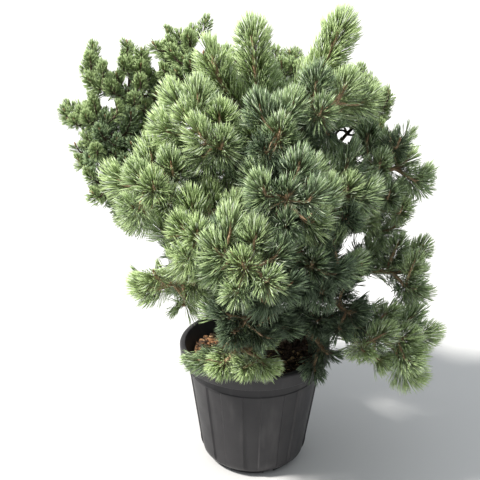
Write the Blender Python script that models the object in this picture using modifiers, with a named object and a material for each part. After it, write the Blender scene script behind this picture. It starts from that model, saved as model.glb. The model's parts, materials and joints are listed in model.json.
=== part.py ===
"""A dwarf white pine in a fluted nursery pot, as named solids. Metres, +Z up, origin under the pot."""

import math
import random
from collections import namedtuple

import bmesh
import bpy
from mathutils import Matrix, Vector, noise

NAME = "potted_white_pine"
GAP = 0.0003  # clearance between solids that touch
SAME = 1e-5  # points nearer than this lie at one level
MERGE = 1e-6  # points nearer than this are one
PARALLEL = 1e-14
UP = Vector((0.0, 0.0, 1.0))

# Pot
POT_HEIGHT = 0.205
RIM_RADIUS = 0.120
RIM_DEPTH = 0.023
RIM_WIDTH = 0.009
RIM_ROUND = 0.0025
RIM_DRAFT = 0.0015  # the lip's side leans in by this much to its lower edge
NECK_RADIUS = 0.1035
NECK_DEPTH = 0.020
SHOULDER = 0.001  # height of the step from the neck out to the body
BODY_TOP_RADIUS = 0.1050
BODY_LOW_RADIUS = 0.0875
CORNER_HEIGHT = 0.038
CORNER_STEPS = 4
FOOT_RADIUS = 0.069
FOOT_RISE = 0.006  # height of the upright foot ring under the rounded corner
WALL = 0.004
FLOOR = 0.012
POT_STEPS = 36
PANELS = 10
PANEL_TURN = math.radians(-92.4)
FLUTE_ANGLE = math.radians(17.0)
FLUTE_DEPTH = 0.0022
FLUTE_START = 0.002  # below the neck
FLUTE_CUTTER = 0.02  # the cutting block's thickness
FLUTE_RUN = 0.03  # how far a flute runs on down the rounded corner
NOTCHES = 6
NOTCH_TURN = math.radians(-68.5)
NOTCH_WIDTH = 0.017
NOTCH_HEIGHT = 0.0055
NOTCH_REACH = 0.016
NOTCH_OUT = 0.006  # from the foot's edge to the middle of a notch

# Soil
SOIL_LEVEL = 0.187
SOIL_EDGE = 0.177
SOIL_STEPS = 24
SOIL_CLEAR = 0.0007  # to the pot's wall, whose flat facets stand inside its circle
SOIL_RINGS = 4
SOIL_PAD = 0.042  # flat ground round the trunk's foot
SOIL_SLOPE = 0.07  # run over which the ground sinks from the pad to the edge
SOIL_ROUGHNESS = 0.0035
SOIL_LUMPS = 38.0  # scale of the lumps, for each metre

# Trunk: its foot in the pot, then (height over the foot, shift to the right, shift to the back, radius)
FOOT = Vector((0.050, 0.020, SOIL_LEVEL + GAP))
TRUNK_COURSE = (
    (0.000, 0.000, 0.000, 0.0185),
    (0.006, 0.002, 0.000, 0.0155),
    (0.018, 0.006, 0.000, 0.0132),
    (0.045, 0.013, -0.002, 0.0118),
    (0.090, 0.010, -0.001, 0.0105),
    (0.150, -0.004, 0.006, 0.0093),
    (0.210, -0.020, 0.008, 0.0082),
    (0.270, -0.029, 0.000, 0.0070),
    (0.330, -0.034, -0.008, 0.0058),
    (0.375, -0.043, -0.012, 0.0046),
)
FLARE_LOBES = 5
FLARE_SWELL = 0.16
FLARE_HEIGHT = 0.018
FOOT_CUT = 0.002  # what lies lower than this is cut flat at the soil

# Boughs
BOUGH_STEPS = 3
BOUGH_TAPER = 0.022  # root radius for each metre of a bough, over BOUGH_TIP
BOUGH_SHARE = 0.68  # most that a bough's root takes of the trunk's radius there
BOUGH_TIP = 0.0026
BOUGH_RISE = 0.45
BOUGH_SWEEP = 0.35  # share of its span over which a bough bends at either end
BOUGH_END = 0.006  # straight run at the tip, so that its cut faces the stem squarely

# Twigs and needles
STEM_RADIUS = 0.0024
TWIG_RADIUS = 0.0017
TWIG_ROOT = 1.15  # a twig's thickness at its root and at its end, as shares of its radius
TWIG_END = 0.70
STEM_BEFORE = 0.75  # where the stem starts and ends, from the mass's centre, as shares of its size
STEM_PAST = 0.5
TUFT_CORE = 0.0070
TUFT_SIDES = 6
TUFT_POINT = 2.6  # the core's length ahead of and behind its middle, as shares of its radius
TUFT_TAIL = 1.8
BEAD_STEP = 0.034
NEEDLE_SWEEP = 0.75
NEEDLE_FAN = 0.60  # how much more the foremost needles sweep forward than the hindmost
NEEDLE_HALF = 0.001
NEEDLE_SHORTEST = 0.35  # share of a needle's length under which it is left out
TUFTS_APART = 0.030
WHORLS = ((0.20, 80.0, 1.00, 4), (0.62, 52.0, 0.80, 3))  # place on the stem, spread, share of size, twigs
CROWN_SPREAD = 0.42  # the leaders' twigs stand up with them
SHORTER = (1.0, 0.85, 0.7, 0.55)
TWIG_LEAST = 0.012
LIFT = 0.30
TURN_JITTER = 0.35
SPREAD_JITTER = 9.0
REACH_LEAST = 0.85
REACH_MOST = 1.15
ASIDE = Vector((0.2, 0.9, 0.4))  # no stem runs this way
SPACE_MARGIN = 0.0008
LIMB_MARGIN = 0.0012
POT_MARGIN = 0.004

# Open places, through which sky or mulch shows to an eye in front: (right, height, radius) where the
# sight line passes the plane of the pot's axis. No tuft grows in them, and needles end short of them.
EYE = Vector((-0.026, -1.421, 0.959))
OPENINGS = (
    (-0.180, 0.350, 0.026),
    (-0.157, 0.360, 0.014),
    (-0.217, 0.339, 0.022),
    (-0.252, 0.400, 0.035),
    (-0.283, 0.504, 0.012),
    (-0.275, 0.539, 0.012),
    (-0.274, 0.625, 0.017),
    (-0.257, 0.603, 0.009),
    (-0.213, 0.669, 0.015),
    (-0.212, 0.647, 0.009),
    (-0.191, 0.626, 0.005),
    (-0.148, 0.644, 0.005),
    (-0.085, 0.675, 0.009),
    (-0.055, 0.688, 0.010),
    (0.037, 0.692, 0.017),
    (0.128, 0.549, 0.012),
    (0.213, 0.583, 0.023),
    (0.209, 0.488, 0.012),
    (0.193, 0.411, 0.008),
    (0.235, 0.407, 0.012),
    (0.143, 0.376, 0.012),
    (0.157, 0.383, 0.011),
    (0.133, 0.361, 0.008),
    (0.166, 0.300, 0.013),
    (0.197, 0.304, 0.017),
    (0.224, 0.318, 0.012),
    (0.187, 0.286, 0.009),
    (0.212, 0.287, 0.009),
    (-0.167, 0.225, 0.036),
    (-0.126, 0.222, 0.021),
    (-0.083, 0.218, 0.019),
    (0.137, 0.199, 0.010),
    (0.136, 0.150, 0.015),
    (0.155, 0.148, 0.018),
    (0.180, 0.146, 0.018),
)
NEEDLE_CUTS = (1.0, 0.8, 0.6, 0.45)  # shares of its length at which a needle may end before an opening

# A mass sits at a height, and at a reach and azimuth from the pot's axis. Its limb springs from the
# trunk at the height "fork", and its stem climbs at "pitch" and ends in "beads" tufts in a row.
Mass = namedtuple("Mass", "name fork azimuth reach height size pitch beads needle seed limb")

MASSES = (
    Mass("leader_left", 0.563, 180, 0.006, 0.642, 0.062, 78, 3, 0.044, 11, "tip"),
    Mass("leader_right", 0.542, 0, 0.095, 0.656, 0.060, 58, 4, 0.046, 12, "trunk"),
    Mass("crown_left", 0.529, -152, 0.056, 0.630, 0.052, 50, 2, 0.043, 13, "trunk"),
    Mass("crown_right", 0.509, -30, 0.116, 0.614, 0.052, 35, 1, 0.042, 14, "trunk"),
    Mass("upper_front", 0.494, -75, 0.098, 0.566, 0.050, 40, 1, 0.042, 15, "trunk"),
    Mass("left_upper", 0.490, -137, 0.110, 0.569, 0.055, 45, 1, 0.042, 16, "bough"),
    Mass("left_far", 0.435, -146, 0.172, 0.496, 0.055, 32, 1, 0.042, 17, "bough"),
    Mass("left_middle", 0.379, -123, 0.155, 0.442, 0.058, 22, 1, 0.041, 18, "bough"),
    Mass("front_high", 0.444, -78, 0.165, 0.502, 0.056, 30, 1, 0.042, 19, "bough"),
    Mass("front_middle", 0.354, -94, 0.180, 0.419, 0.062, 16, 1, 0.042, 20, "bough"),
    Mass("right_front", 0.404, -39, 0.136, 0.482, 0.058, 30, 1, 0.041, 21, "bough"),
    Mass("right_arch", 0.430, 0, 0.192, 0.496, 0.054, 24, 1, 0.041, 22, "bough"),
    Mass("right_middle", 0.366, 5, 0.190, 0.426, 0.056, 8, 1, 0.040, 23, "bough"),
    Mass("front_low_right", 0.324, -64, 0.158, 0.406, 0.058, 15, 1, 0.041, 24, "bough"),
    Mass("right_low", 0.296, -7, 0.200, 0.339, 0.056, 15, 1, 0.040, 25, "bough"),
    Mass("left_low", 0.306, -143, 0.166, 0.346, 0.056, 5, 1, 0.042, 26, "bough"),
    Mass("front_low", 0.276, -98, 0.142, 0.306, 0.056, 0, 1, 0.041, 27, "bough"),
    Mass("front_rim", 0.250, -105, 0.134, 0.246, 0.050, 0, 1, 0.038, 28, "bough"),
    Mass("right_inner", 0.284, -33, 0.148, 0.306, 0.052, 5, 1, 0.040, 29, "bough"),
    Mass("right_rim", 0.242, -40, 0.128, 0.242, 0.044, 0, 1, 0.034, 30, "bough"),
    Mass("right_end", 0.262, -22, 0.218, 0.244, 0.054, -10, 1, 0.040, 31, "bough"),
    Mass("rear_left_top", 0.478, 144, 0.266, 0.576, 0.060, 42, 1, 0.034, 32, "bough"),
    Mass("rear_left_side", 0.419, 151, 0.276, 0.508, 0.060, 24, 1, 0.034, 33, "bough"),
    Mass("rear_left_low", 0.366, 153, 0.236, 0.428, 0.056, 8, 1, 0.034, 34, "bough"),
    Mass("rear_left_crest", 0.502, 124, 0.178, 0.602, 0.060, 50, 1, 0.034, 35, "bough"),
    Mass("rear_crest", 0.519, 66, 0.122, 0.565, 0.058, 40, 1, 0.036, 36, "bough"),
    Mass("rear_right", 0.462, 40, 0.214, 0.528, 0.060, 30, 1, 0.036, 37, "bough"),
    Mass("rear_middle", 0.392, 87, 0.186, 0.449, 0.064, 18, 1, 0.038, 38, "bough"),
    Mass("rear_low", 0.330, 143, 0.130, 0.312, 0.058, 8, 1, 0.038, 39, "bough"),
    Mass("rear_low_left", 0.344, 110, 0.168, 0.346, 0.060, 10, 1, 0.038, 41, "bough"),
    Mass("rear_low_right", 0.319, 50, 0.172, 0.339, 0.062, 10, 1, 0.038, 40, "bough"),
)


def clear_scene():
    for item in list(bpy.data.objects):
        bpy.data.objects.remove(item, do_unlink=True)


def new_collection(name, hidden=False):
    made = bpy.data.collections.new(name)
    bpy.context.scene.collection.children.link(made)
    made.hide_render = hidden
    return made


def principled(name, colour, roughness, metallic=0.0):
    made = bpy.data.materials.new(name)
    made.use_nodes = True
    shader = made.node_tree.nodes["Principled BSDF"]
    shader.inputs["Base Color"].default_value = (*colour, 1.0)
    shader.inputs["Roughness"].default_value = roughness
    shader.inputs["Metallic"].default_value = metallic
    return made


def mesh_object(name, mesh, collection, material=None):
    made = bpy.data.objects.new(name, mesh)
    collection.objects.link(made)
    if material:
        mesh.materials.clear()
        mesh.materials.append(material)
    return made


def bmesh_object(name, shape, collection, material=None):
    mesh = bpy.data.meshes.new(name)
    shape.to_mesh(mesh)
    shape.free()
    return mesh_object(name, mesh, collection, material)


def evaluated_mesh(item):
    graph = bpy.context.evaluated_depsgraph_get()
    return bpy.data.meshes.new_from_object(item.evaluated_get(graph))


def cutter(item):
    item.hide_render = True
    item.display_type = "WIRE"
    return item


def round_shading(item, degrees=40.0):
    item.data.shade_smooth()
    item.data.set_sharp_from_angle(angle=math.radians(degrees))


def heading(azimuth, pitch):
    turn = math.radians(azimuth)
    climb = math.radians(pitch)
    flat = math.cos(climb)
    return Vector((math.cos(turn) * flat, math.sin(turn) * flat, math.sin(climb)))


def turned(name, profile, steps, collection, material=None):
    """A solid of revolution from (radius, height) points that run down its outer side."""
    mesh = bpy.data.meshes.new(name)
    points = [(radius, 0.0, height) for radius, height in profile]
    mesh.from_pydata(points, [(i, i + 1) for i in range(len(points) - 1)], [])
    made = mesh_object(name, mesh, collection, material)
    screw = made.modifiers.new("turn", "SCREW")
    screw.axis = "Z"
    screw.steps = steps
    screw.render_steps = steps
    screw.use_merge_vertices = True
    screw.merge_threshold = 0.0001
    return made


def pot_profile():
    """The pot's section: up the inside from the floor's middle, over the lip and down the outside."""
    inner_top = RIM_RADIUS - RIM_WIDTH
    under_lip = POT_HEIGHT - RIM_DEPTH
    neck_low = under_lip - NECK_DEPTH
    yield 0.0, FLOOR
    yield FOOT_RADIUS - WALL, FLOOR
    yield BODY_LOW_RADIUS - WALL, CORNER_HEIGHT + FLOOR
    yield NECK_RADIUS - WALL - FLUTE_DEPTH, neck_low
    yield NECK_RADIUS - WALL, under_lip
    yield inner_top, POT_HEIGHT - RIM_ROUND
    yield inner_top + RIM_ROUND, POT_HEIGHT
    yield RIM_RADIUS - RIM_ROUND, POT_HEIGHT
    yield RIM_RADIUS, POT_HEIGHT - RIM_ROUND
    yield RIM_RADIUS - RIM_DRAFT, under_lip
    yield NECK_RADIUS + RIM_ROUND, under_lip
    yield NECK_RADIUS, neck_low
    yield BODY_TOP_RADIUS, neck_low - SHOULDER
    for step in range(CORNER_STEPS + 1):
        bend = step / CORNER_STEPS * math.pi / 2.0
        inward = (BODY_LOW_RADIUS - FOOT_RADIUS) * (1.0 - math.cos(bend))
        rise = (CORNER_HEIGHT - FOOT_RISE) * (1.0 - math.sin(bend))
        yield BODY_LOW_RADIUS - inward, FOOT_RISE + rise
    yield FOOT_RADIUS, 0.0
    yield 0.0, 0.0


def box_cutter(name, size, place, collection):
    shape = bmesh.new()
    bmesh.ops.create_cube(shape, size=1.0)
    bmesh.ops.transform(shape, matrix=place @ Matrix.Diagonal((*size, 1.0)), verts=shape.verts)
    return cutter(bmesh_object(name, shape, collection))


def cut(item, collection, name):
    boolean = item.modifiers.new(name, "BOOLEAN")
    boolean.operation = "DIFFERENCE"
    boolean.operand_type = "COLLECTION"
    boolean.collection = collection
    return boolean


def flute_cutters(collection):
    """Ten flat-bottomed flutes that lean with the pot's wall."""
    top = POT_HEIGHT - RIM_DEPTH - NECK_DEPTH - FLUTE_START
    slope = math.atan2(BODY_TOP_RADIUS - BODY_LOW_RADIUS, top - CORNER_HEIGHT)
    length = top - CORNER_HEIGHT + FLUTE_RUN
    width = 2.0 * BODY_TOP_RADIUS * math.sin(FLUTE_ANGLE / 2.0)
    for panel in range(PANELS):
        turn = Matrix.Rotation(PANEL_TURN + panel * math.tau / PANELS, 4, "Z")
        edge = Matrix.Translation((BODY_TOP_RADIUS - FLUTE_DEPTH, 0.0, top))
        lean = Matrix.Rotation(slope, 4, "Y")
        inset = Matrix.Translation((FLUTE_CUTTER / 2.0, 0.0, -length / 2.0))
        size = (FLUTE_CUTTER, width, length)
        box_cutter(f"flute_{panel}", size, turn @ edge @ lean @ inset, collection)


def notch_cutters(collection):
    """Six notches in the foot's edge, which leave it on wide pads."""
    for notch in range(NOTCHES):
        turn = Matrix.Rotation(NOTCH_TURN + notch * math.tau / NOTCHES, 4, "Z")
        place = Matrix.Translation((FOOT_RADIUS + NOTCH_OUT, 0.0, 0.0))
        size = (2.0 * NOTCH_REACH, NOTCH_WIDTH, 2.0 * NOTCH_HEIGHT)
        box_cutter(f"notch_{notch}", size, turn @ place, collection)


def make_pot(parts, plastic):
    pot = turned("pot", list(pot_profile()), POT_STEPS, parts, plastic)
    flutes = new_collection("flutes", hidden=True)
    notches = new_collection("notches", hidden=True)
    flute_cutters(flutes)
    notch_cutters(notches)
    cut(pot, flutes, "flutes")
    cut(pot, notches, "notches")
    return pot


def soil_height(x, y):
    """The mulch's height: level round the trunk's foot, sinking to the edge, with small lumps."""
    away = (Vector((x, y)) - FOOT.xy).length
    if away < SOIL_PAD:
        return SOIL_LEVEL
    fall = min((away - SOIL_PAD) / SOIL_SLOPE, 1.0)
    lump = SOIL_ROUGHNESS * noise.noise(Vector((x, y, 0.0)) * SOIL_LUMPS)
    return SOIL_LEVEL + (SOIL_EDGE - SOIL_LEVEL) * fall - abs(lump)


def make_soil(parts, mulch):
    under_lip = POT_HEIGHT - RIM_DEPTH
    neck_low = under_lip - NECK_DEPTH
    rise = (SOIL_EDGE - neck_low) / NECK_DEPTH
    wall_low = NECK_RADIUS - WALL - FLUTE_DEPTH - SOIL_CLEAR
    wall_high = NECK_RADIUS - WALL - SOIL_CLEAR
    edge = wall_low + (wall_high - wall_low) * rise
    profile = [(edge * ring / SOIL_RINGS, SOIL_EDGE) for ring in range(SOIL_RINGS + 1)]
    profile.append((wall_low, neck_low))
    profile.append((BODY_LOW_RADIUS - WALL - SOIL_CLEAR, CORNER_HEIGHT + FLOOR))
    profile.append((FOOT_RADIUS - WALL - SOIL_CLEAR, FLOOR + GAP))
    profile.append((0.0, FLOOR + GAP))
    blank = turned("soil_blank", profile, SOIL_STEPS, parts)
    mesh = evaluated_mesh(blank)
    bpy.data.objects.remove(blank)
    for vertex in mesh.vertices:
        if abs(vertex.co.z - SOIL_EDGE) < SAME:
            vertex.co.z = soil_height(vertex.co.x, vertex.co.y)
    return mesh_object("soil", mesh, parts, mulch)


def tube_mesh(points, radii, sides_over_four):
    """A closed tapering tube along the points, as a mesh."""
    curve = bpy.data.curves.new("tube", "CURVE")
    curve.dimensions = "3D"
    curve.bevel_depth = 1.0
    curve.bevel_resolution = sides_over_four
    curve.use_fill_caps = True
    spline = curve.splines.new("POLY")
    spline.points.add(len(points) - 1)
    for knot, point, radius in zip(spline.points, points, radii):
        knot.co = (*point, 1.0)
        knot.radius = radius
    guide = bpy.data.objects.new("tube", curve)
    bpy.context.scene.collection.objects.link(guide)
    mesh = evaluated_mesh(guide)
    bpy.data.objects.remove(guide)
    shape = bmesh.new()
    shape.from_mesh(mesh)
    bmesh.ops.remove_doubles(shape, verts=shape.verts, dist=MERGE)
    bmesh.ops.recalc_face_normals(shape, faces=shape.faces)
    shape.to_mesh(mesh)
    shape.free()
    return mesh


def trunk_points():
    for height, right, back, radius in TRUNK_COURSE:
        yield FOOT + Vector((right, back, height)), radius


def trunk_at(level):
    """The trunk's centre and radius where it passes a level."""
    course = list(trunk_points())
    for (low, low_radius), (high, high_radius) in zip(course, course[1:]):
        if level <= high.z:
            share = (level - low.z) / (high.z - low.z)
            return low.lerp(high, share), low_radius + (high_radius - low_radius) * share
    return course[-1]


def flare(mesh):
    """Spread the foot into root ridges, and cut it flat at the soil."""
    for vertex in mesh.vertices:
        over = vertex.co.z - FOOT.z
        if over < FLARE_HEIGHT:
            centre, _ = trunk_at(max(vertex.co.z, FOOT.z))
            out = vertex.co - centre
            turn = math.atan2(out.y, out.x)
            swell = 1.0 + FLARE_SWELL * (1.0 - over / FLARE_HEIGHT) * math.cos(FLARE_LOBES * turn)
            vertex.co.x = centre.x + out.x * swell
            vertex.co.y = centre.y + out.y * swell
        if over < FOOT_CUT:
            vertex.co.z = FOOT.z


def make_trunk(parts, cutters, bark):
    points, radii = zip(*trunk_points())
    mesh = tube_mesh(points, radii, 3)
    flare(mesh)
    trunk = mesh_object("trunk", mesh, parts, bark)
    fat = [radius + GAP for radius in radii]
    cutter(mesh_object("trunk_clearance", tube_mesh(points, fat, 3), cutters))
    return trunk


def centre_of(mass):
    turn = math.radians(mass.azimuth)
    return Vector((mass.reach * math.cos(turn), mass.reach * math.sin(turn), mass.height))


def course_of(mass):
    """The limb's root on the trunk, the foot of the mass, and the way its stem sets off."""
    root, _ = trunk_at(mass.fork)
    centre = centre_of(mass)
    away = centre - root
    flat = math.degrees(math.atan2(away.y, away.x))
    way = heading(flat, mass.pitch)
    if mass.limb == "tip":
        (low, _), (high, _) = list(trunk_points())[-2:]
        return root, root, (high - low).normalized()
    if mass.limb == "trunk":
        return root, root, away.normalized()
    return root, centre - way * mass.size * STEM_BEFORE, way


def bezier(start, first, second, end, share):
    rest = 1.0 - share
    return (
        start * rest**3
        + first * 3.0 * rest**2 * share
        + second * 3.0 * rest * share**2
        + end * share**3
    )


def bough_course(mass):
    """Centre points and radii of a bough that leaves the trunk rising and bends to its mass."""
    root, foot, way = course_of(mass)
    span = (foot - root).length
    out = foot - root
    out.z = 0.0
    leave = (out.normalized() + UP * BOUGH_RISE).normalized()
    bend = (root + leave * span * BOUGH_SWEEP, foot - way * span * BOUGH_SWEEP)
    neck = foot - way * BOUGH_END
    points = [bezier(root, *bend, neck, step / BOUGH_STEPS) for step in range(BOUGH_STEPS)]
    points += [neck, foot]
    _, trunk_radius = trunk_at(mass.fork)
    thick = min(BOUGH_TIP + BOUGH_TAPER * span, trunk_radius * BOUGH_SHARE)
    radii = [thick + (BOUGH_TIP - thick) * step / BOUGH_STEPS for step in range(BOUGH_STEPS + 1)]
    return points, radii + [BOUGH_TIP]


def bough_name(mass):
    return f"bough_{mass.name}"


def make_bough(mass, parts, cutters, bark):
    points, radii = bough_course(mass)
    bough = mesh_object(bough_name(mass), tube_mesh(points, radii, 1), parts, bark)
    cut(bough, cutters, "trunk")
    return bough


def all_limbs():
    """(start, end, radius) for each straight run of the trunk and the boughs."""
    course = list(trunk_points())
    for (low, low_radius), (high, high_radius) in zip(course, course[1:]):
        yield low, high, max(low_radius, high_radius)
    for mass in MASSES:
        if mass.limb == "bough":
            points, radii = bough_course(mass)
            for start, end, radius in zip(points, points[1:], radii):
                yield start, end, radius


def between_runs(a, b, c, d):
    """The least distance between the straight runs a to b and c to d."""
    first = b - a
    second = d - c
    apart = a - c
    aa = first.dot(first)
    bb = second.dot(second)
    ab = first.dot(second)
    ac = first.dot(apart)
    bc = second.dot(apart)
    base = aa * bb - ab * ab
    share = min(max((ab * bc - ac * bb) / base, 0.0), 1.0) if base > PARALLEL else 0.0
    other = (ab * share + bc) / bb
    if other < 0.0:
        other = 0.0
        share = min(max(-ac / aa, 0.0), 1.0)
    elif other > 1.0:
        other = 1.0
        share = min(max((ab - ac) / aa, 0.0), 1.0)
    return (apart + first * share - second * other).length


class Space:
    """The room that a mass keeps to: its share of the crown, clear of the limbs and the pot."""

    def __init__(self, mass, limbs):
        self.walls = []
        centre = centre_of(mass)
        own = (mass.size + mass.needle) ** 2
        for other in MASSES:
            if other is mass:
                continue
            way = centre_of(other) - centre
            span = way.length
            share = (span**2 + own - (other.size + other.needle) ** 2) / (2.0 * span)
            self.walls.append((way / span, centre.dot(way / span) + share - SPACE_MARGIN))
        self.limbs = limbs

    def room(self, start, way, more=()):
        """How far a straight run from start can go before it meets a wall."""
        free = 1.0
        for normal, offset in (*self.walls, *more):
            closing = normal.dot(way)
            if closing > MERGE:
                free = min(free, (offset - normal.dot(start)) / closing)
        return free

    def holds(self, point, radius):
        return all(normal.dot(point) + radius < offset for normal, offset in self.walls)

    def clear(self, start, end, radius):
        for low, high, thick in self.limbs:
            if between_runs(start, end, low, high) < thick + radius + LIMB_MARGIN:
                return False
        return all(over_pot(start.lerp(end, share)) for share in (0.25, 0.5, 0.75, 1.0))

    def fits_tuft(self, centre, way):
        tail = centre - way * TUFT_CORE * TUFT_TAIL
        point = centre + way * TUFT_CORE * TUFT_POINT
        if in_opening(centre, TUFT_CORE) or in_opening(point):
            return False
        return self.holds(centre, TUFT_CORE) and self.holds(point, 0.0) and self.clear(tail, point, TUFT_CORE)


def in_opening(point, margin=0.0):
    """Whether a point lies in one of the open places, each a cone from the eye."""
    sight = point - EYE
    for right, height, radius in OPENINGS:
        line = Vector((right, 0.0, height)) - EYE
        along = sight.dot(line) / line.length_squared
        if (sight - line * along).length < radius * along + margin:
            return True
    return False


def over_pot(point):
    """Whether a point is clear of the pot and the soil."""
    flat = point.xy.length
    if flat < RIM_RADIUS - RIM_WIDTH - POT_MARGIN:
        return point.z > SOIL_LEVEL + POT_MARGIN
    return flat > RIM_RADIUS + POT_MARGIN or point.z > POT_HEIGHT + POT_MARGIN


def side_way(way, turn, spread):
    """A direction that leaves the stem's way by the spread, at an angle round it."""
    across = way.cross(ASIDE).normalized()
    across.rotate(Matrix.Rotation(turn, 3, way))
    return (way * math.cos(spread) + across * math.sin(spread) + UP * LIFT).normalized()


def grow(mass, space):
    """The twigs as (start, end, radius) and the tufts as (centre, way) of one mass, by a seeded rule."""
    dice = random.Random(mass.seed)
    _, foot, way = course_of(mass)
    if mass.limb != "trunk":
        foot = foot + way * GAP
    length = (centre_of(mass) - foot).length + mass.size * STEM_PAST
    length = min(length, space.room(foot, way) - TUFT_CORE * TUFT_POINT)
    tops = [foot + way * length * share for share in SHORTER]
    top = next((end for end in tops if space.fits_tuft(end, way)), tops[0])
    twigs = [(foot, top, STEM_RADIUS)]
    beads = [top - way * BEAD_STEP * bead for bead in range(mass.beads)]
    tufts = [(centre, way) for centre in beads if space.holds(centre, TUFT_CORE)]
    stands = CROWN_SPREAD if mass.beads > 1 else 1.0
    turn = dice.uniform(0.0, math.tau)
    for place, spread, share, arms in WHORLS[:1] if mass.beads > 1 else WHORLS:
        start = foot.lerp(top, place)
        for _ in range(arms):
            turn += math.tau / arms + dice.uniform(-TURN_JITTER, TURN_JITTER)
            leaning = spread + dice.uniform(-SPREAD_JITTER, SPREAD_JITTER)
            out = side_way(way, turn, math.radians(leaning) * stands)
            reach = mass.size * share * dice.uniform(REACH_LEAST, REACH_MOST)
            end = twig_end(space, start, out, reach, tufts)
            if end:
                twigs.append((start, end, TWIG_RADIUS))
                tufts.append((end, out))
        turn += math.pi / arms
    return twigs, tufts


def twig_end(space, start, out, reach, tufts):
    """The farthest end, from the whole reach down, at which a twig and its tuft fit in the space."""
    for share in SHORTER:
        end = start + out * reach * share
        if reach * share < TWIG_LEAST or min((end - centre).length for centre, _ in tufts) < TUFTS_APART:
            continue
        if space.clear(start + out * 2.0 * STEM_RADIUS, end, TWIG_RADIUS) and space.fits_tuft(end, out):
            return end
    return None


def walls_between(tufts, own):
    """The planes half way to the other tufts, which a tuft's needles end at; a row of beads has none."""
    centre, way = tufts[own]
    for other, (there, its_way) in enumerate(tufts):
        if other != own and its_way != way:
            normal = (there - centre).normalized()
            yield normal, normal.dot(centre.lerp(there, 0.5)) - GAP


def frame_along(origin, way):
    turn = UP.rotation_difference(way).to_matrix().to_4x4()
    return Matrix.Translation(origin) @ turn


def make_twig(start, end, radius, collection):
    """A three-sided twig, thick at its root."""
    span = end - start
    shape = bmesh.new()
    place = frame_along(start.lerp(end, 0.5), span.normalized())
    bmesh.ops.create_cone(
        shape,
        cap_ends=True,
        segments=4 if radius == STEM_RADIUS else 3,
        radius1=radius * TWIG_ROOT,
        radius2=radius * TWIG_END,
        depth=span.length,
        matrix=place,
    )
    return bmesh_object("twig", shape, collection)


def make_tuft(tufts, own, needle, space, collection):
    """A brush of needles: a slim six-sided core whose faces are drawn out to points."""
    centre, way = tufts[own]
    walls = list(walls_between(tufts, own))
    turn = own * math.pi / TUFT_SIDES
    shape = bmesh.new()
    bmesh.ops.create_uvsphere(shape, u_segments=TUFT_SIDES, v_segments=2, radius=TUFT_CORE)
    for vertex in shape.verts:
        vertex.co.z *= TUFT_POINT if vertex.co.z > 0.0 else TUFT_TAIL
    place = frame_along(centre, way) @ Matrix.Rotation(turn, 4, "Z")
    bmesh.ops.transform(shape, matrix=place, verts=shape.verts)
    bmesh.ops.recalc_face_normals(shape, faces=shape.faces)
    for face in list(shape.faces):
        ahead = face.normal.dot(way)
        out = (face.normal + way * (NEEDLE_SWEEP + NEEDLE_FAN * ahead)).normalized()
        root = face.calc_center_median()
        length = min(needle, space.room(root, out, walls))
        lengths = [length * share for share in NEEDLE_CUTS]
        length = next((reach for reach in lengths if not in_opening(root + out * reach)), 0.0)
        if length < needle * NEEDLE_SHORTEST:
            continue
        if not space.clear(root, root + out * length, NEEDLE_HALF):
            continue
        drawn = bmesh.ops.poke(shape, faces=[face])
        drawn["verts"][0].co = root + out * length
    return bmesh_object("tuft", shape, collection)


def joined(name, pieces, cutters, parts, material):
    """One solid from the pieces of a mass, cut clear of what it springs from, and the pieces removed."""
    items = list(pieces.objects)
    base = mesh_object(name, items[0].data.copy(), parts, material)
    bpy.data.objects.remove(items[0])
    union = base.modifiers.new("join", "BOOLEAN")
    union.operation = "UNION"
    union.operand_type = "COLLECTION"
    union.collection = pieces
    union.solver = "MANIFOLD"
    if cutters:
        cut(base, cutters, "trunk")
    mesh = evaluated_mesh(base)
    base.modifiers.clear()
    base.data = mesh
    mesh.materials.clear()
    mesh.materials.append(material)
    for item in list(pieces.objects):
        bpy.data.objects.remove(item)
    bpy.data.collections.remove(pieces)
    return base


def make_mass(mass, limbs, cutters, parts, needles):
    space = Space(mass, limbs)
    twigs, tufts = grow(mass, space)
    pieces = new_collection("pieces")
    for start, end, radius in twigs:
        make_twig(start, end, radius, pieces)
    for own in range(len(tufts)):
        make_tuft(tufts, own, mass.needle, space, pieces)
    cutters = cutters if mass.limb == "trunk" else None
    return joined(f"mass_{mass.name}", pieces, cutters, parts, needles)


def main():
    clear_scene()
    parts = new_collection(NAME)
    cutters = new_collection("cutters", hidden=True)
    plastic = principled("pot_plastic", (0.055, 0.055, 0.058), 0.45)
    mulch = principled("bark_mulch", (0.16, 0.085, 0.045), 0.95)
    bark = principled("pine_bark", (0.22, 0.15, 0.10), 0.85)
    needles = principled("pine_needles", (0.13, 0.26, 0.12), 0.55)
    make_pot(parts, plastic)
    make_soil(parts, mulch)
    round_shading(make_trunk(parts, cutters, bark))
    for mass in MASSES:
        if mass.limb == "bough":
            round_shading(make_bough(mass, parts, cutters, bark))
    limbs = list(all_limbs())
    for mass in MASSES:
        make_mass(mass, limbs, cutters, parts, needles)


main()
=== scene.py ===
"""Looks of the potted white pine: bark, twigs, needles, mulch and pot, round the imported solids."""

import json
import math
import random
from collections import namedtuple

import bmesh
import bpy
import numpy as np
from mathutils import Matrix, Vector, noise

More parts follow.
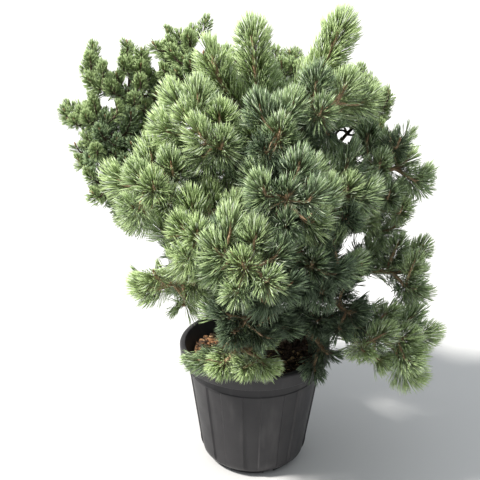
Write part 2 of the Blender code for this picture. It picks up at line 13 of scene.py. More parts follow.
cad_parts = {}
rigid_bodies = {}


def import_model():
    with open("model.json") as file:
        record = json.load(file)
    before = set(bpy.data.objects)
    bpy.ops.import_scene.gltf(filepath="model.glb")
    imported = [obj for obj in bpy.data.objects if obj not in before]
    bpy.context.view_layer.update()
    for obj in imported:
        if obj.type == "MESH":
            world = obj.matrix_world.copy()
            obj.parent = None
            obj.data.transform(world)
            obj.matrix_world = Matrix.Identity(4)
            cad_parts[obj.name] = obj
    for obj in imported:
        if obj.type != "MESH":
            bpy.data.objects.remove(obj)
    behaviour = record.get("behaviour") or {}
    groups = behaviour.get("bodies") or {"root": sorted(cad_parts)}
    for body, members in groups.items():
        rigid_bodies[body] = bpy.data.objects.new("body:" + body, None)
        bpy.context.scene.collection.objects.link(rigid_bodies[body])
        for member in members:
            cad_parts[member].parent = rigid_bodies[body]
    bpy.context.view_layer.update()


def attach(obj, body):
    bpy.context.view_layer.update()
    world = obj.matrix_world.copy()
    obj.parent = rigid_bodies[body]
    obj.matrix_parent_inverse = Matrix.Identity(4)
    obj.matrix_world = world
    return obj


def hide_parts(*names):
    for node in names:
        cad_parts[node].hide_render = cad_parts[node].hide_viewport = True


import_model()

UP = Vector((0.0, 0.0, 1.0))
GOLDEN = math.pi * (3.0 - math.sqrt(5.0))

# Camera, in the frame of the solids: its place, its right and up, and its focal length in image widths
CAMERA_AT = Vector((-0.0257, -1.4214, 0.9586))
CAMERA_RIGHT = Vector((0.9999, 0.0046, 0.0113))
CAMERA_UP = Vector((-0.0122, 0.3778, 0.9258))
FOCAL_WIDTHS = 1000.0 / 480.0
SENSOR = 36.0

# Light: the way to the sun, its strength and width, and the sky's strength at the horizon and overhead
SUN_WAY = (-0.86, -0.32, 1.25)
SUN_STRENGTH = 6.5
SUN_WIDTH = 8.0
SKY_STRENGTH = (0.42, 1.80)

# Pot, as in the solids
GAP = 0.0003
POT_HEIGHT = 0.205
RIM_RADIUS = 0.120
RIM_DEPTH = 0.023
RIM_WIDTH = 0.009
NECK_RADIUS = 0.1035
NECK_DEPTH = 0.020
BODY_TOP_RADIUS = 0.1050
BODY_LOW_RADIUS = 0.0875
CORNER_HEIGHT = 0.038
FOOT_RADIUS = 0.069
FOOT_RISE = 0.006
WALL = 0.004
FLOOR = 0.012
PANELS = 10
PANEL_TURN = math.radians(-92.4)
FLUTE_ANGLE = 17.0
FLUTE_DEPTH = 0.0022
FLUTE_EDGE = 1.5
NOTCHES = 6
NOTCH_TURN = math.radians(-68.5)
NOTCH_WIDTH = 0.017
NOTCH_HEIGHT = 0.0055
NOTCH_REACH = 0.016
NOTCH_OUT = 0.006

# Soil, as in the solids
SOIL_LEVEL = 0.187
SOIL_EDGE = 0.177
SOIL_PAD = 0.042
SOIL_SLOPE = 0.07
SOIL_ROUGHNESS = 0.0035
SOIL_LUMPS = 38.0
HEAP_AT = Vector((-0.078, 0.020))
HEAP_RADIUS = 0.055
HEAP_HEIGHT = 0.010

# Trunk and boughs, as in the solids
FOOT = Vector((0.050, 0.020, SOIL_LEVEL + GAP))
TRUNK_COURSE = (
    (0.000, 0.000, 0.000, 0.0185),
    (0.006, 0.002, 0.000, 0.0155),
    (0.018, 0.006, 0.000, 0.0132),
    (0.045, 0.013, -0.002, 0.0118),
    (0.090, 0.010, -0.001, 0.0105),
    (0.150, -0.004, 0.006, 0.0093),
    (0.210, -0.020, 0.008, 0.0082),
    (0.270, -0.029, 0.000, 0.0070),
    (0.330, -0.034, -0.008, 0.0058),
    (0.375, -0.043, -0.012, 0.0046),
)
FLARE_LOBES = 5
FLARE_SWELL = 0.16
FLARE_HEIGHT = 0.018
BOUGH_STEPS = 3
BOUGH_TAPER = 0.022
BOUGH_SHARE = 0.68
BOUGH_TIP = 0.0026
BOUGH_RISE = 0.45
BOUGH_SWEEP = 0.35
BOUGH_END = 0.006

# Twigs, as in the solids
STEM_RADIUS = 0.0024
TWIG_RADIUS = 0.0017
STEM_BEFORE = 0.75
STEM_PAST = 0.5
TUFT_CORE = 0.0070
TUFT_POINT = 2.6
TUFT_TAIL = 1.8
BEAD_STEP = 0.034
TUFTS_APART = 0.030
WHORLS = ((0.20, 80.0, 1.00, 4), (0.62, 52.0, 0.80, 3))
CROWN_SPREAD = 0.42
SHORTER = (1.0, 0.85, 0.7, 0.55)
TWIG_LEAST = 0.012
LIFT = 0.30
TURN_JITTER = 0.35
SPREAD_JITTER = 9.0
REACH_LEAST = 0.85
REACH_MOST = 1.15
ASIDE = Vector((0.2, 0.9, 0.4))
SPACE_MARGIN = 0.0008
LIMB_MARGIN = 0.0012
POT_MARGIN = 0.004

# Open places, through which sky or mulch shows to an eye in front: (right, height, radius) where the
# sight line passes the plane of the pot's axis. No tip or needle is in them.
EYE = Vector((-0.026, -1.421, 0.959))
OPENINGS = (
    (-0.180, 0.350, 0.026),
    (-0.157, 0.360, 0.014),
    (-0.217, 0.339, 0.022),
    (-0.252, 0.400, 0.035),
    (-0.283, 0.504, 0.012),
    (-0.275, 0.539, 0.012),
    (-0.274, 0.625, 0.017),
    (-0.257, 0.603, 0.009),
    (-0.213, 0.669, 0.015),
    (-0.212, 0.647, 0.009),
    (-0.191, 0.626, 0.005),
    (-0.148, 0.644, 0.005),
    (-0.085, 0.675, 0.009),
    (-0.055, 0.688, 0.010),
    (0.037, 0.692, 0.017),
    (0.128, 0.549, 0.012),
    (0.213, 0.583, 0.023),
    (0.209, 0.488, 0.012),
    (0.193, 0.411, 0.008),
    (0.235, 0.407, 0.012),
    (0.143, 0.376, 0.012),
    (0.157, 0.383, 0.011),
    (0.133, 0.361, 0.008),
    (0.166, 0.300, 0.013),
    (0.197, 0.304, 0.017),
    (0.224, 0.318, 0.012),
    (0.187, 0.286, 0.009),
    (0.212, 0.287, 0.009),
    (-0.167, 0.225, 0.036),
    (-0.126, 0.222, 0.021),
    (-0.083, 0.218, 0.019),
    (0.137, 0.199, 0.010),
    (0.136, 0.150, 0.015),
    (0.155, 0.148, 0.018),
    (0.180, 0.146, 0.018),
)

# More such places, small gaps between the sprays, which only the looks keep open
SIGHTS = (
    (-0.078, 0.212, 0.016),
    (-0.104, 0.198, 0.018),
    (-0.074, 0.231, 0.013),
    (0.052, 0.190, 0.017),
    (0.075, 0.195, 0.014),
    (0.028, 0.182, 0.010),
    (0.127, 0.546, 0.013),
    (0.151, 0.512, 0.008),
    (0.168, 0.510, 0.008),
    (0.203, 0.493, 0.010),
    (-0.104, 0.558, 0.006),
    (-0.188, 0.698, 0.015),
    (-0.170, 0.690, 0.017),
    (-0.150, 0.697, 0.015),
    (-0.119, 0.724, 0.017),
    (-0.093, 0.728, 0.016),
    (0.179, 0.646, 0.019),
    (0.201, 0.626, 0.018),
    (0.208, 0.608, 0.011),
    (0.195, 0.565, 0.012),
    (0.213, 0.556, 0.013),
    (0.235, 0.541, 0.012),
    (-0.280, 0.450, 0.009),
    (-0.261, 0.457, 0.008),
    (-0.295, 0.550, 0.012),
    (-0.165, 0.340, 0.009),
    (-0.143, 0.340, 0.009),
    (-0.132, 0.268, 0.008),
    (-0.114, 0.253, 0.009),
    (-0.226, 0.594, 0.007),
    (-0.214, 0.591, 0.006),
)

# Finer growth, which only the looks have
CROWN_AXIS = Vector((0.0, 0.015, 0.0))
CROWN_MIDDLE = Vector((0.0, 0.015, 0.40))
COVER_AHEAD = 0.020  # other tips further out, within this run and this distance aside, cover a shoot
COVER_ASIDE = 0.030
COVER_SOME = 2
COVER_MUCH = 4
HOLLOW = Vector((0.040, -0.170, 0.335))  # a shaded place low in the crown's front, whose shoots get a painted shade, and its radius
HOLLOW_RADIUS = 0.085
COVERED_SHARE = 0.75  # share of its needles that a much covered shoot keeps
OUTWARD = (0.95, 0.35)  # how much shoots turn outward, low down and high up
UPWARD = (0.40, 2.1)
RISE_FROM = 0.25  # the height from which shoots rise more, and over how much height
RISE_OVER = 0.20
BOW = 0.6  # how much a twig bows up from its straight course in the solids
LEADER_RISE = 1.1
LEADER_AHEAD = 0.020
LEADER_SHIFT = {"leader_left": Vector((0.005, 0.0, 0.0)), "leader_right": Vector((-0.008, 0.0, 0.003))}
LEADER_ARM = 0.6  # share of their length that the arms at a leader's foot keep
LOOK_SEED = 500
FORK_ARMS = 4
FORK_SPREAD = 50.0
FORK_BACK = 0.020  # from a shoot's tip back to where it forks
FINE_LEVELS = 3
TIP_MARGIN = 0.008  # a tip's distance from the open places
LOWEST_TIP = 0.236  # no tip at the rim hangs lower
RIM_MASSES = ("front_rim", "right_rim")
SIDE_PLACES = (0.30, 0.65)
SIDE_ARMS = 2
SIDE_SPREAD = 62.0
LIMB_PLACES = (0.45, 0.60, 0.75, 0.90)
LIMB_REACH = 0.040
FINE_TWIG = 0.65  # thickness of the solids' twigs where the foliage is fine, as a share
TWIG_SWELL = (1.8, 1.25)  # a twig's thickness with its leaf scars, at its root and its tip, in radii
FILL_TRIES = 900
FILL_TRIES_USUAL = 160
FILL_REACH = 0.042
FILL_LEAST = 0.012
FILL_OUTWARD = 0.5  # how much a new shoot looks for a root further in
NEEDLES_LEAST = 0.40  # a shoot that keeps a smaller share of its needles is left out

# Needles
PIECE_TRIANGLES = 190_000
NEEDLE_FORWARD = 0.38  # how far a needle's end bends to the shoot's way
BUNDLE = 3
BUNDLE_SPLAY = 0.10
NEEDLE_BEND_AT = 0.78
DOME_SPREAD = 58.0
SHOOT_SPREAD = 54.0
CLOTHED_MOST = 0.92  # share of a shoot that needles clothe at most
TIP_AHEAD = 0.008  # from the end of a twig to the apex of its brush

# How shoots of a kind grow: needle length as a share of the solids' needles, needle half width, bundles
# on the dome at the tip, its depth, bundles for each metre before it, the length of shoot that they
# clothe, how wide they open, how far forks and side shoots reach, the least distance between tips, the
# thickness of the last twigs, and the share of an open place's radius that single needles reach into
Habit = namedtuple("Habit", "needle width dome depth along clothed opening fork side apart twig ragged")
USUAL = Habit(0.93, 0.00060, 76, 0.022, 1900.0, 0.033, 0.90, 0.038, 0.036, 0.0335, 0.0013, 0.35)
LEADER = Habit(0.95, 0.00064, 85, 0.018, 3600.0, 1.000, 0.88, 0.034, 0.034, 0.0285, 0.0014, 0.35)
FINE = Habit(0.54, 0.00060, 40, 0.010, 1700.0, 0.030, 0.95, 0.026, 0.026, 0.0228, 0.0009, 0.35)
BRUSH = Habit(0.74, 0.00060, 60, 0.016, 2100.0, 1.000, 0.96, 0.038, 0.032, 0.0330, 0.0014, 0.80)
BRUSH_MASSES = ("right_arch", "right_middle", "right_low")
FINE_MASSES = (
    "rear_left_top",
    "rear_left_side",
    "rear_left_low",
    "rear_left_crest",
    "rear_crest",
    "rear_right",
)
LIMB_CLOTHED = 0.35
LIMB_CLOTHED_MORE = 0.80
LIMB_BUNDLES = 1000.0
CLOTHED_LIMBS = ("right_arch", "right_middle", "right_low", "right_end")
TRUNK_CLOTHED = 0.085

Mass = namedtuple("Mass", "name fork azimuth reach height size pitch beads needle seed limb")
Shoot = namedtuple("Shoot", "course radius clothed needle dome along habit tint seed parent")

MASSES = (
    Mass("leader_left", 0.563, 180, 0.006, 0.642, 0.062, 78, 3, 0.044, 11, "tip"),
    Mass("leader_right", 0.542, 0, 0.095, 0.656, 0.060, 58, 4, 0.046, 12, "trunk"),
    Mass("crown_left", 0.529, -152, 0.056, 0.630, 0.052, 50, 2, 0.043, 13, "trunk"),
    Mass("crown_right", 0.509, -30, 0.116, 0.614, 0.052, 35, 1, 0.042, 14, "trunk"),
    Mass("upper_front", 0.494, -75, 0.098, 0.566, 0.050, 40, 1, 0.042, 15, "trunk"),
    Mass("left_upper", 0.490, -137, 0.110, 0.569, 0.055, 45, 1, 0.042, 16, "bough"),
    Mass("left_far", 0.435, -146, 0.172, 0.496, 0.055, 32, 1, 0.042, 17, "bough"),
    Mass("left_middle", 0.379, -123, 0.155, 0.442, 0.058, 22, 1, 0.041, 18, "bough"),
    Mass("front_high", 0.444, -78, 0.165, 0.502, 0.056, 30, 1, 0.042, 19, "bough"),
    Mass("front_middle", 0.354, -94, 0.180, 0.419, 0.062, 16, 1, 0.042, 20, "bough"),
    Mass("right_front", 0.404, -39, 0.136, 0.482, 0.058, 30, 1, 0.041, 21, "bough"),
    Mass("right_arch", 0.430, 0, 0.192, 0.496, 0.054, 24, 1, 0.041, 22, "bough"),
    Mass("right_middle", 0.366, 5, 0.190, 0.426, 0.056, 8, 1, 0.040, 23, "bough"),
    Mass("front_low_right", 0.324, -64, 0.158, 0.406, 0.058, 15, 1, 0.041, 24, "bough"),
    Mass("right_low", 0.296, -7, 0.200, 0.339, 0.056, 15, 1, 0.040, 25, "bough"),
    Mass("left_low", 0.306, -143, 0.166, 0.346, 0.056, 5, 1, 0.042, 26, "bough"),
    Mass("front_low", 0.276, -98, 0.142, 0.306, 0.056, 0, 1, 0.041, 27, "bough"),
    Mass("front_rim", 0.250, -105, 0.134, 0.246, 0.050, 0, 1, 0.038, 28, "bough"),
    Mass("right_inner", 0.284, -33, 0.148, 0.306, 0.052, 5, 1, 0.040, 29, "bough"),
    Mass("right_rim", 0.242, -40, 0.128, 0.242, 0.044, 0, 1, 0.034, 30, "bough"),
    Mass("right_end", 0.262, -22, 0.218, 0.244, 0.054, -10, 1, 0.040, 31, "bough"),
    Mass("rear_left_top", 0.478, 144, 0.266, 0.576, 0.060, 42, 1, 0.034, 32, "bough"),
    Mass("rear_left_side", 0.419, 151, 0.276, 0.508, 0.060, 24, 1, 0.034, 33, "bough"),
    Mass("rear_left_low", 0.366, 153, 0.236, 0.428, 0.056, 8, 1, 0.034, 34, "bough"),
    Mass("rear_left_crest", 0.502, 124, 0.178, 0.602, 0.060, 50, 1, 0.034, 35, "bough"),
    Mass("rear_crest", 0.519, 66, 0.122, 0.565, 0.058, 40, 1, 0.036, 36, "bough"),
    Mass("rear_right", 0.462, 40, 0.214, 0.528, 0.060, 30, 1, 0.036, 37, "bough"),
    Mass("rear_middle", 0.392, 87, 0.186, 0.449, 0.064, 18, 1, 0.038, 38, "bough"),
    Mass("rear_low", 0.330, 143, 0.130, 0.312, 0.058, 8, 1, 0.038, 39, "bough"),
    Mass("rear_low_left", 0.344, 110, 0.168, 0.346, 0.060, 10, 1, 0.038, 41, "bough"),
    Mass("rear_low_right", 0.319, 50, 0.172, 0.339, 0.062, 10, 1, 0.038, 40, "bough"),
)

# Plain colours of the needles, and the tint that each mass starts from. Deeper tints on the low and inner masses are
# partly painted shade of the crown, and fresher tints on the left and outer masses partly painted sunlight from the
# upper left.
TINTS = (
    ("needle_pale", (0.56, 0.64, 0.47)),
    ("needle_fresh", (0.46, 0.585, 0.265)),
    ("needle_light", (0.415, 0.53, 0.26)),
    ("needle_green", (0.31, 0.415, 0.20)),
    ("needle_blue", (0.21, 0.295, 0.155)),
    ("needle_deep", (0.095, 0.138, 0.080)),
    ("needle_moss", (0.31, 0.41, 0.175)),
)
PALE, FRESH, LIGHT, GREEN, BLUE, DEEP, MOSS = range(len(TINTS))
PALE_SHARE = 0.13
MASS_TINT = {
    "leader_left": LIGHT,
    "leader_right": LIGHT,
    "crown_left": LIGHT,
    "crown_right": LIGHT,
    "left_far": FRESH,
    "left_upper": FRESH,
    "left_middle": FRESH,
    "left_low": FRESH,
    "front_middle": LIGHT,
    "front_rim": FRESH,
    "front_low": BLUE,
    "front_low_right": BLUE,
    "right_middle": LIGHT,
    "right_low": LIGHT,
    "rear_left_top": FRESH,
    "rear_left_side": LIGHT,
    "rear_left_low": LIGHT,
    "rear_left_crest": FRESH,
    "rear_crest": LIGHT,
    "rear_right": FRESH,
    "right_end": FRESH,
    "right_inner": DEEP,
    "right_rim": DEEP,
    "rear_low": BLUE,
    "rear_low_left": BLUE,
    "rear_low_right": BLUE,
}


# Camera, light and floor

def make_camera():
    data = bpy.data.cameras.new("camera")
    data.sensor_width = SENSOR
    data.lens = SENSOR * FOCAL_WIDTHS
    camera = bpy.data.objects.new("camera", data)
    bpy.context.scene.collection.objects.link(camera)
    back = CAMERA_RIGHT.cross(CAMERA_UP)
    turn = Matrix((CAMERA_RIGHT, CAMERA_UP, back)).transposed().to_4x4()
    camera.matrix_world = Matrix.Translation(CAMERA_AT) @ turn
    bpy.context.scene.camera = camera


def make_light():
    """Sun from the upper left, a little in front, under a sky that is brightest overhead."""
    world = bpy.data.worlds.new("studio")
    bpy.context.scene.world = world
    world.use_nodes = True
    sky = world.node_tree.nodes["Background"]
    sky.inputs["Color"].default_value = (0.93, 0.97, 1.0, 1.0)
    way = world.node_tree.nodes.new("ShaderNodeTexCoord").outputs["Generated"]
    parts = world.node_tree.nodes.new("ShaderNodeSeparateXYZ")
    world.node_tree.links.new(way, parts.inputs["Vector"])
    height = world.node_tree.nodes.new("ShaderNodeMath")
    height.operation = "POWER"
    height.use_clamp = True
    height.inputs[1].default_value = 3.0
    world.node_tree.links.new(parts.outputs["Z"], height.inputs[0])
    glow = world.node_tree.nodes.new("ShaderNodeMapRange")
    glow.inputs["To Min"].default_value = SKY_STRENGTH[0]
    glow.inputs["To Max"].default_value = SKY_STRENGTH[1]
    world.node_tree.links.new(height.outputs["Value"], glow.inputs["Value"])
    world.node_tree.links.new(glow.outputs["Result"], sky.inputs["Strength"])
    data = bpy.data.lights.new("sun", "SUN")
    data.energy = SUN_STRENGTH
    data.angle = math.radians(SUN_WIDTH)
    data.color = (1.0, 0.97, 0.92)
    sun = bpy.data.objects.new("sun", data)
    bpy.context.scene.collection.objects.link(sun)
    sun.rotation_mode = "QUATERNION"
    sun.rotation_quaternion = Vector(SUN_WAY).to_track_quat("Z", "Y")


def make_floor(material):
    mesh = bpy.data.meshes.new("floor")
    side = 60.0
    corners = [(-side, -side, 0.0), (side, -side, 0.0), (side, side, 0.0), (-side, side, 0.0)]
    mesh.from_pydata(corners, [], [(0, 1, 2, 3)])
    mesh.materials.append(material)
    floor = bpy.data.objects.new("floor", mesh)
    bpy.context.scene.collection.objects.link(floor)


# Materials

class Look:
    """A Principled material and short ways to add nodes to it."""

    def __init__(self, name, colour, roughness, specular=0.5):
        self.material = bpy.data.materials.new(name)
        self.material.use_nodes = True
        self.tree = self.material.node_tree
        self.shader = self.tree.nodes["Principled BSDF"]
        self.shader.inputs["Base Color"].default_value = (*colour, 1.0)
        self.shader.inputs["Roughness"].default_value = roughness
        self.shader.inputs["Specular IOR Level"].default_value = specular
        self.place = self.tree.nodes.new("ShaderNodeTexCoord").outputs["Object"]

    def stretched(self, scale):
        mapping = self.tree.nodes.new("ShaderNodeMapping")
        mapping.inputs["Scale"].default_value = scale
        self.tree.links.new(self.place, mapping.inputs["Vector"])
        return mapping.outputs["Vector"]

    def noise(self, scale, detail=4.0, roughness=0.55, place=None, distortion=0.0):
        node = self.tree.nodes.new("ShaderNodeTexNoise")
        node.inputs["Scale"].default_value = scale
        node.inputs["Detail"].default_value = detail
        node.inputs["Roughness"].default_value = roughness
        node.inputs["Distortion"].default_value = distortion
        self.tree.links.new(place or self.place, node.inputs["Vector"])
        return node.outputs["Fac"]

    def cells(self, scale, place=None, feature="F1", output="Distance"):
        node = self.tree.nodes.new("ShaderNodeTexVoronoi")
        node.feature = feature
        node.inputs["Scale"].default_value = scale
        self.tree.links.new(place or self.place, node.inputs["Vector"])
        return node.outputs[output]

    def ramp(self, value, *stops):
        """A colour ramp through (place, colour) stops."""
        node = self.tree.nodes.new("ShaderNodeValToRGB")
        elements = node.color_ramp.elements
        while len(elements) < len(stops):
            elements.new(0.5)
        for element, (place, colour) in zip(elements, stops):
            element.position = place
            element.color = (*colour, 1.0)
        self.tree.links.new(value, node.inputs["Fac"])
        return node.outputs["Color"]

    def spread(self, value, low, high, from_low=0.0, from_high=1.0):
        node = self.tree.nodes.new("ShaderNodeMapRange")
        node.inputs["From Min"].default_value = from_low
        node.inputs["From Max"].default_value = from_high
        node.inputs["To Min"].default_value = low
        node.inputs["To Max"].default_value = high
        self.tree.links.new(value, node.inputs["Value"])
        return node.outputs["Result"]

    def mix(self, share, first, second, blend="MIX"):
        node = self.tree.nodes.new("ShaderNodeMix")
        node.data_type = "RGBA"
        node.blend_type = blend
        for value, socket in ((share, node.inputs[0]), (first, node.inputs[6]), (second, node.inputs[7])):
            if isinstance(value, bpy.types.NodeSocket):
                self.tree.links.new(value, socket)
            elif socket == node.inputs[0]:
                socket.default_value = value
            else:
                socket.default_value = (*value, 1.0)
        return node.outputs[2]

    def colour(self, value):
        self.tree.links.new(value, self.shader.inputs["Base Color"])

    def roughness(self, value):
        self.tree.links.new(value, self.shader.inputs["Roughness"])

    def bump(self, value, strength, depth):
        node = self.tree.nodes.new("ShaderNodeBump")
        node.inputs["Strength"].default_value = strength
        node.inputs["Distance"].default_value = depth
        self.tree.links.new(value, node.inputs["Height"])
        self.tree.links.new(node.outputs["Normal"], self.shader.inputs["Normal"])


def floor_look():
    look = Look("studio_floor", (0.49, 0.49, 0.49), 0.9, 0.1)
    look.roughness(look.spread(look.noise(3.0), 0.85, 0.95))
    return look.material


def plastic_look():
    """Dark grey moulded plastic with a fine grain, faint dust and rubbed streaks."""
    look = Look("pot_plastic", (0.038, 0.037, 0.039), 0.42, 0.22)
    dust = look.noise(9.0, 5.0, 0.6)
    streaks = look.noise(60.0, 3.0, 0.5, look.stretched((1.0, 1.0, 0.12)))
    body = look.ramp(dust, (0.30, (0.029, 0.028, 0.030)), (0.72, (0.047, 0.045, 0.047)))
    rubbed = look.ramp(streaks, (0.55, (0.0, 0.0, 0.0)), (0.80, (0.022, 0.021, 0.020)))
    look.colour(look.mix(1.0, body, rubbed, "ADD"))
    look.roughness(look.spread(look.noise(26.0, 4.0), 0.36, 0.55, 0.3, 0.7))
    look.bump(look.noise(900.0, 2.0), 0.12, 0.0006)
    return look.material


def soil_look():
    look = Look("dark_soil", (0.06, 0.035, 0.02), 0.95, 0.2)
    grain = look.noise(260.0, 6.0, 0.7)
    look.colour(look.ramp(grain, (0.30, (0.010, 0.008, 0.006)), (0.52, (0.034, 0.022, 0.014)),
                          (0.75, (0.110, 0.066, 0.034))))
    look.bump(look.noise(420.0, 6.0, 0.7), 0.9, 0.003)
    return look.material


def chip_look(name, dark, light):
    look = Look(name, light, 0.88, 0.25)
    grain = look.noise(320.0, 5.0, 0.65, look.stretched((1.0, 0.35, 1.0)))
    look.colour(look.ramp(grain, (0.32, dark), (0.68, light)))
    look.bump(grain, 0.7, 0.0012)
    return look.material


def bark_look():
    """Old bark: grey-brown plates parted by dark cracks, with rusty flakes."""
    look = Look("pine_bark", (0.16, 0.11, 0.08), 0.9, 0.3)
    long_way = look.stretched((1.0, 1.0, 0.42))
    plates = look.cells(190.0, long_way, "DISTANCE_TO_EDGE")
    flakes = look.noise(150.0, 6.0, 0.65, long_way)
    base = look.ramp(flakes, (0.30, (0.055, 0.037, 0.028)), (0.50, (0.115, 0.078, 0.056)),
                     (0.70, (0.210, 0.150, 0.112)))
    crack = look.ramp(plates, (0.02, (0.20, 0.17, 0.15)), (0.16, (1.0, 1.0, 1.0)))
    look.colour(look.mix(1.0, base, crack, "MULTIPLY"))
    look.roughness(look.spread(flakes, 0.78, 0.98))
    look.bump(look.mix(0.5, plates, flakes), 0.8, 0.0022)
    return look.material


def shoot_look():
    """Young wood: orange-brown with paler ridges and leaf scars."""
    look = Look("shoot_bark", (0.30, 0.19, 0.11), 0.7, 0.35)
    along = look.noise(420.0, 5.0, 0.6)
    look.colour(look.ramp(along, (0.30, (0.200, 0.130, 0.078)), (0.50, (0.440, 0.300, 0.175)),
                          (0.72, (0.640, 0.480, 0.310))))
    look.roughness(look.spread(along, 0.55, 0.85))
    look.bump(look.cells(900.0), 0.6, 0.0006)
    return look.material


def bud_look():
    look = Look("bud_scales", (0.42, 0.27, 0.14), 0.6, 0.4)
    scales = look.cells(1500.0)
    look.colour(look.ramp(scales, (0.10, (0.50, 0.36, 0.20)), (0.60, (0.26, 0.14, 0.07))))
    look.bump(scales, 0.6, 0.0004)
    return look.material


def needle_looks():
    """One plain colour a tint, so that each keeps its place, with a fine waxy bloom in the gloss."""
    looks = []
    for name, colour in TINTS:
        look = Look(name, colour, 0.5, 0.45)
        look.roughness(look.spread(look.noise(700.0, 3.0), 0.38, 0.62, 0.3, 0.7))
        looks.append(look.material)
    return looks


# Meshes from arrays

def triangle_mesh(name, points, triangles, materials, looks=None, smooth=False):
    """A mesh object from an array of points and one of triangles, with a material slot for each."""
    mesh = bpy.data.meshes.new(name)
    mesh.vertices.add(len(points))
    mesh.vertices.foreach_set("co", np.asarray(points, np.float32).ravel())
    mesh.loops.add(triangles.size)
    mesh.loops.foreach_set("vertex_index", np.asarray(triangles, np.int32).ravel())
    mesh.polygons.add(len(triangles))
    mesh.polygons.foreach_set("loop_start", np.arange(0, triangles.size, 3, dtype=np.int32))
    for material in materials:
        mesh.materials.append(material)
    if looks is not None:
        mesh.polygons.foreach_set("material_index", np.asarray(looks, np.int32))
    mesh.update(calc_edges=True)
    mesh.validate()
    if smooth:
        mesh.shade_smooth()
    made = bpy.data.objects.new(name, mesh)
    bpy.context.scene.collection.objects.link(made)
    return made


def unit(rows):
    return rows / np.maximum(np.linalg.norm(rows, axis=-1, keepdims=True), 1e-12)


class Heap:
    """Points and triangles of many small shapes, gathered into one mesh."""

    def __init__(self):
        self.points = []
        self.triangles = []
        self.looks = []
        self.count = 0

    def add(self, points, triangles, look=0):
        self.points.append(points)
        self.triangles.append(triangles + self.count)
        self.looks.append(np.full(len(triangles), look) if np.isscalar(look) else look)
        self.count += len(points)

    def size(self):
        return sum(len(part) for part in self.triangles)

    def make(self, name, materials, smooth=False):
        points = np.concatenate(self.points)
        triangles = np.concatenate(self.triangles)
        return triangle_mesh(name, points, triangles, materials, np.concatenate(self.looks), smooth)


def grid_triangles(rows, columns, wrap=True):
    """Triangles of a grid of points, row by row, whose rows close on themselves."""
    row, column = np.meshgrid(np.arange(rows - 1), np.arange(columns if wrap else columns - 1), indexing="ij")
    after = (column + 1) % columns
    a = row * columns + column
    b = row * columns + after
    c = (row + 1) * columns + after
    d = (row + 1) * columns + column
    return np.concatenate([np.stack([a, b, c], -1).reshape(-1, 3), np.stack([a, c, d], -1).reshape(-1, 3)])


def frames_along(path):
    """Two crosswise directions at each point of a path, which turn as little as they can."""
    steps = np.gradient(path, axis=0)
    ways = unit(steps)
    start = np.array((0.37, 0.84, 0.21))
    across = unit(np.cross(ways[0], start))
    acrosses = []
    for way in ways:
        across = across - way * across.dot(way)
        across = across / max(np.linalg.norm(across), 1e-12)
        acrosses.append(across)
    acrosses = np.array(acrosses)
    return ways, acrosses, np.cross(ways, acrosses)


def tube(path, radii, sides, relief=None):
    """Points and triangles of a closed tube. Relief gives a share of the radius to add at each point."""
    path = np.asarray(path, float)
    radii = np.asarray(radii, float)
    ways, first, second = frames_along(path)
    turns = np.arange(sides) * math.tau / sides
    rings = first[:, None] * np.cos(turns)[None, :, None] + second[:, None] * np.sin(turns)[None, :, None]
    swell = np.ones((len(path), sides)) if relief is None else 1.0 + relief(path, turns)
    points = path[:, None] + rings * (radii[:, None] * swell)[..., None]
    points = np.concatenate([points.reshape(-1, 3), path[:1], path[-1:]])
    triangles = [grid_triangles(len(path), sides)]
    ring = np.arange(sides)
    after = (ring + 1) % sides
    bottom = np.full(sides, len(path) * sides)
    last = (len(path) - 1) * sides
    triangles.append(np.stack([bottom, after, ring], -1))
    triangles.append(np.stack([bottom + 1, last + ring, last + after], -1))
    return points, np.concatenate(triangles)


def smooth_course(knots, values, steps):
    """A Catmull-Rom course through knots, with the values that go with them, at so many steps a span."""
    knots = np.asarray([tuple(knot) for knot in knots], float)
    values = np.asarray(values, float)
    rows = np.column_stack([knots, values])
    padded = np.vstack([2 * rows[0] - rows[1], rows, 2 * rows[-1] - rows[-2]])
    course = []
    for index in range(1, len(padded) - 2):
        before, here, there, beyond = padded[index - 1:index + 3]
        for step in range(steps):
            t = step / steps
            course.append(0.5 * (2 * here + (there - before) * t
                                 + (2 * before - 5 * here + 4 * there - beyond) * t**2
                                 + (3 * here - before - 3 * there + beyond) * t**3))
    course.append(rows[-1])
    course = np.array(course)
    return course[:, :3], course[:, 3]


# The plant's growth, by the rule of the solids

def heading(azimuth, pitch):
    turn = math.radians(azimuth)
    climb = math.radians(pitch)
    flat = math.cos(climb)
    return Vector((math.cos(turn) * flat, math.sin(turn) * flat, math.sin(climb)))


def trunk_points():
    for height, right, back, radius in TRUNK_COURSE:
        yield FOOT + Vector((right, back, height)), radius


def trunk_at(level):
    """The trunk's centre and radius where it passes a level."""
    course = list(trunk_points())
    for (low, low_radius), (high, high_radius) in zip(course, course[1:]):
        if level <= high.z:
            share = (level - low.z) / (high.z - low.z)
            return low.lerp(high, share), low_radius + (high_radius - low_radius) * share
    return course[-1]


def centre_of(mass):
    turn = math.radians(mass.azimuth)
    return Vector((mass.reach * math.cos(turn), mass.reach * math.sin(turn), mass.height))


def course_of(mass):
    """The limb's root on the trunk, the foot of the mass, and the way its stem sets off."""
    root, _ = trunk_at(mass.fork)
    centre = centre_of(mass)
    away = centre - root
    flat = math.degrees(math.atan2(away.y, away.x))
    way = heading(flat, mass.pitch)
    if mass.limb == "tip":
        (low, _), (high, _) = list(trunk_points())[-2:]
        return root, root, (high - low).normalized()
    if mass.limb == "trunk":
        return root, root, away.normalized()
    return root, centre - way * mass.size * STEM_BEFORE, way


def bezier(start, first, second, end, share):
    rest = 1.0 - share
    return (
        start * rest**3
        + first * 3.0 * rest**2 * share
        + second * 3.0 * rest * share**2
        + end * share**3
    )


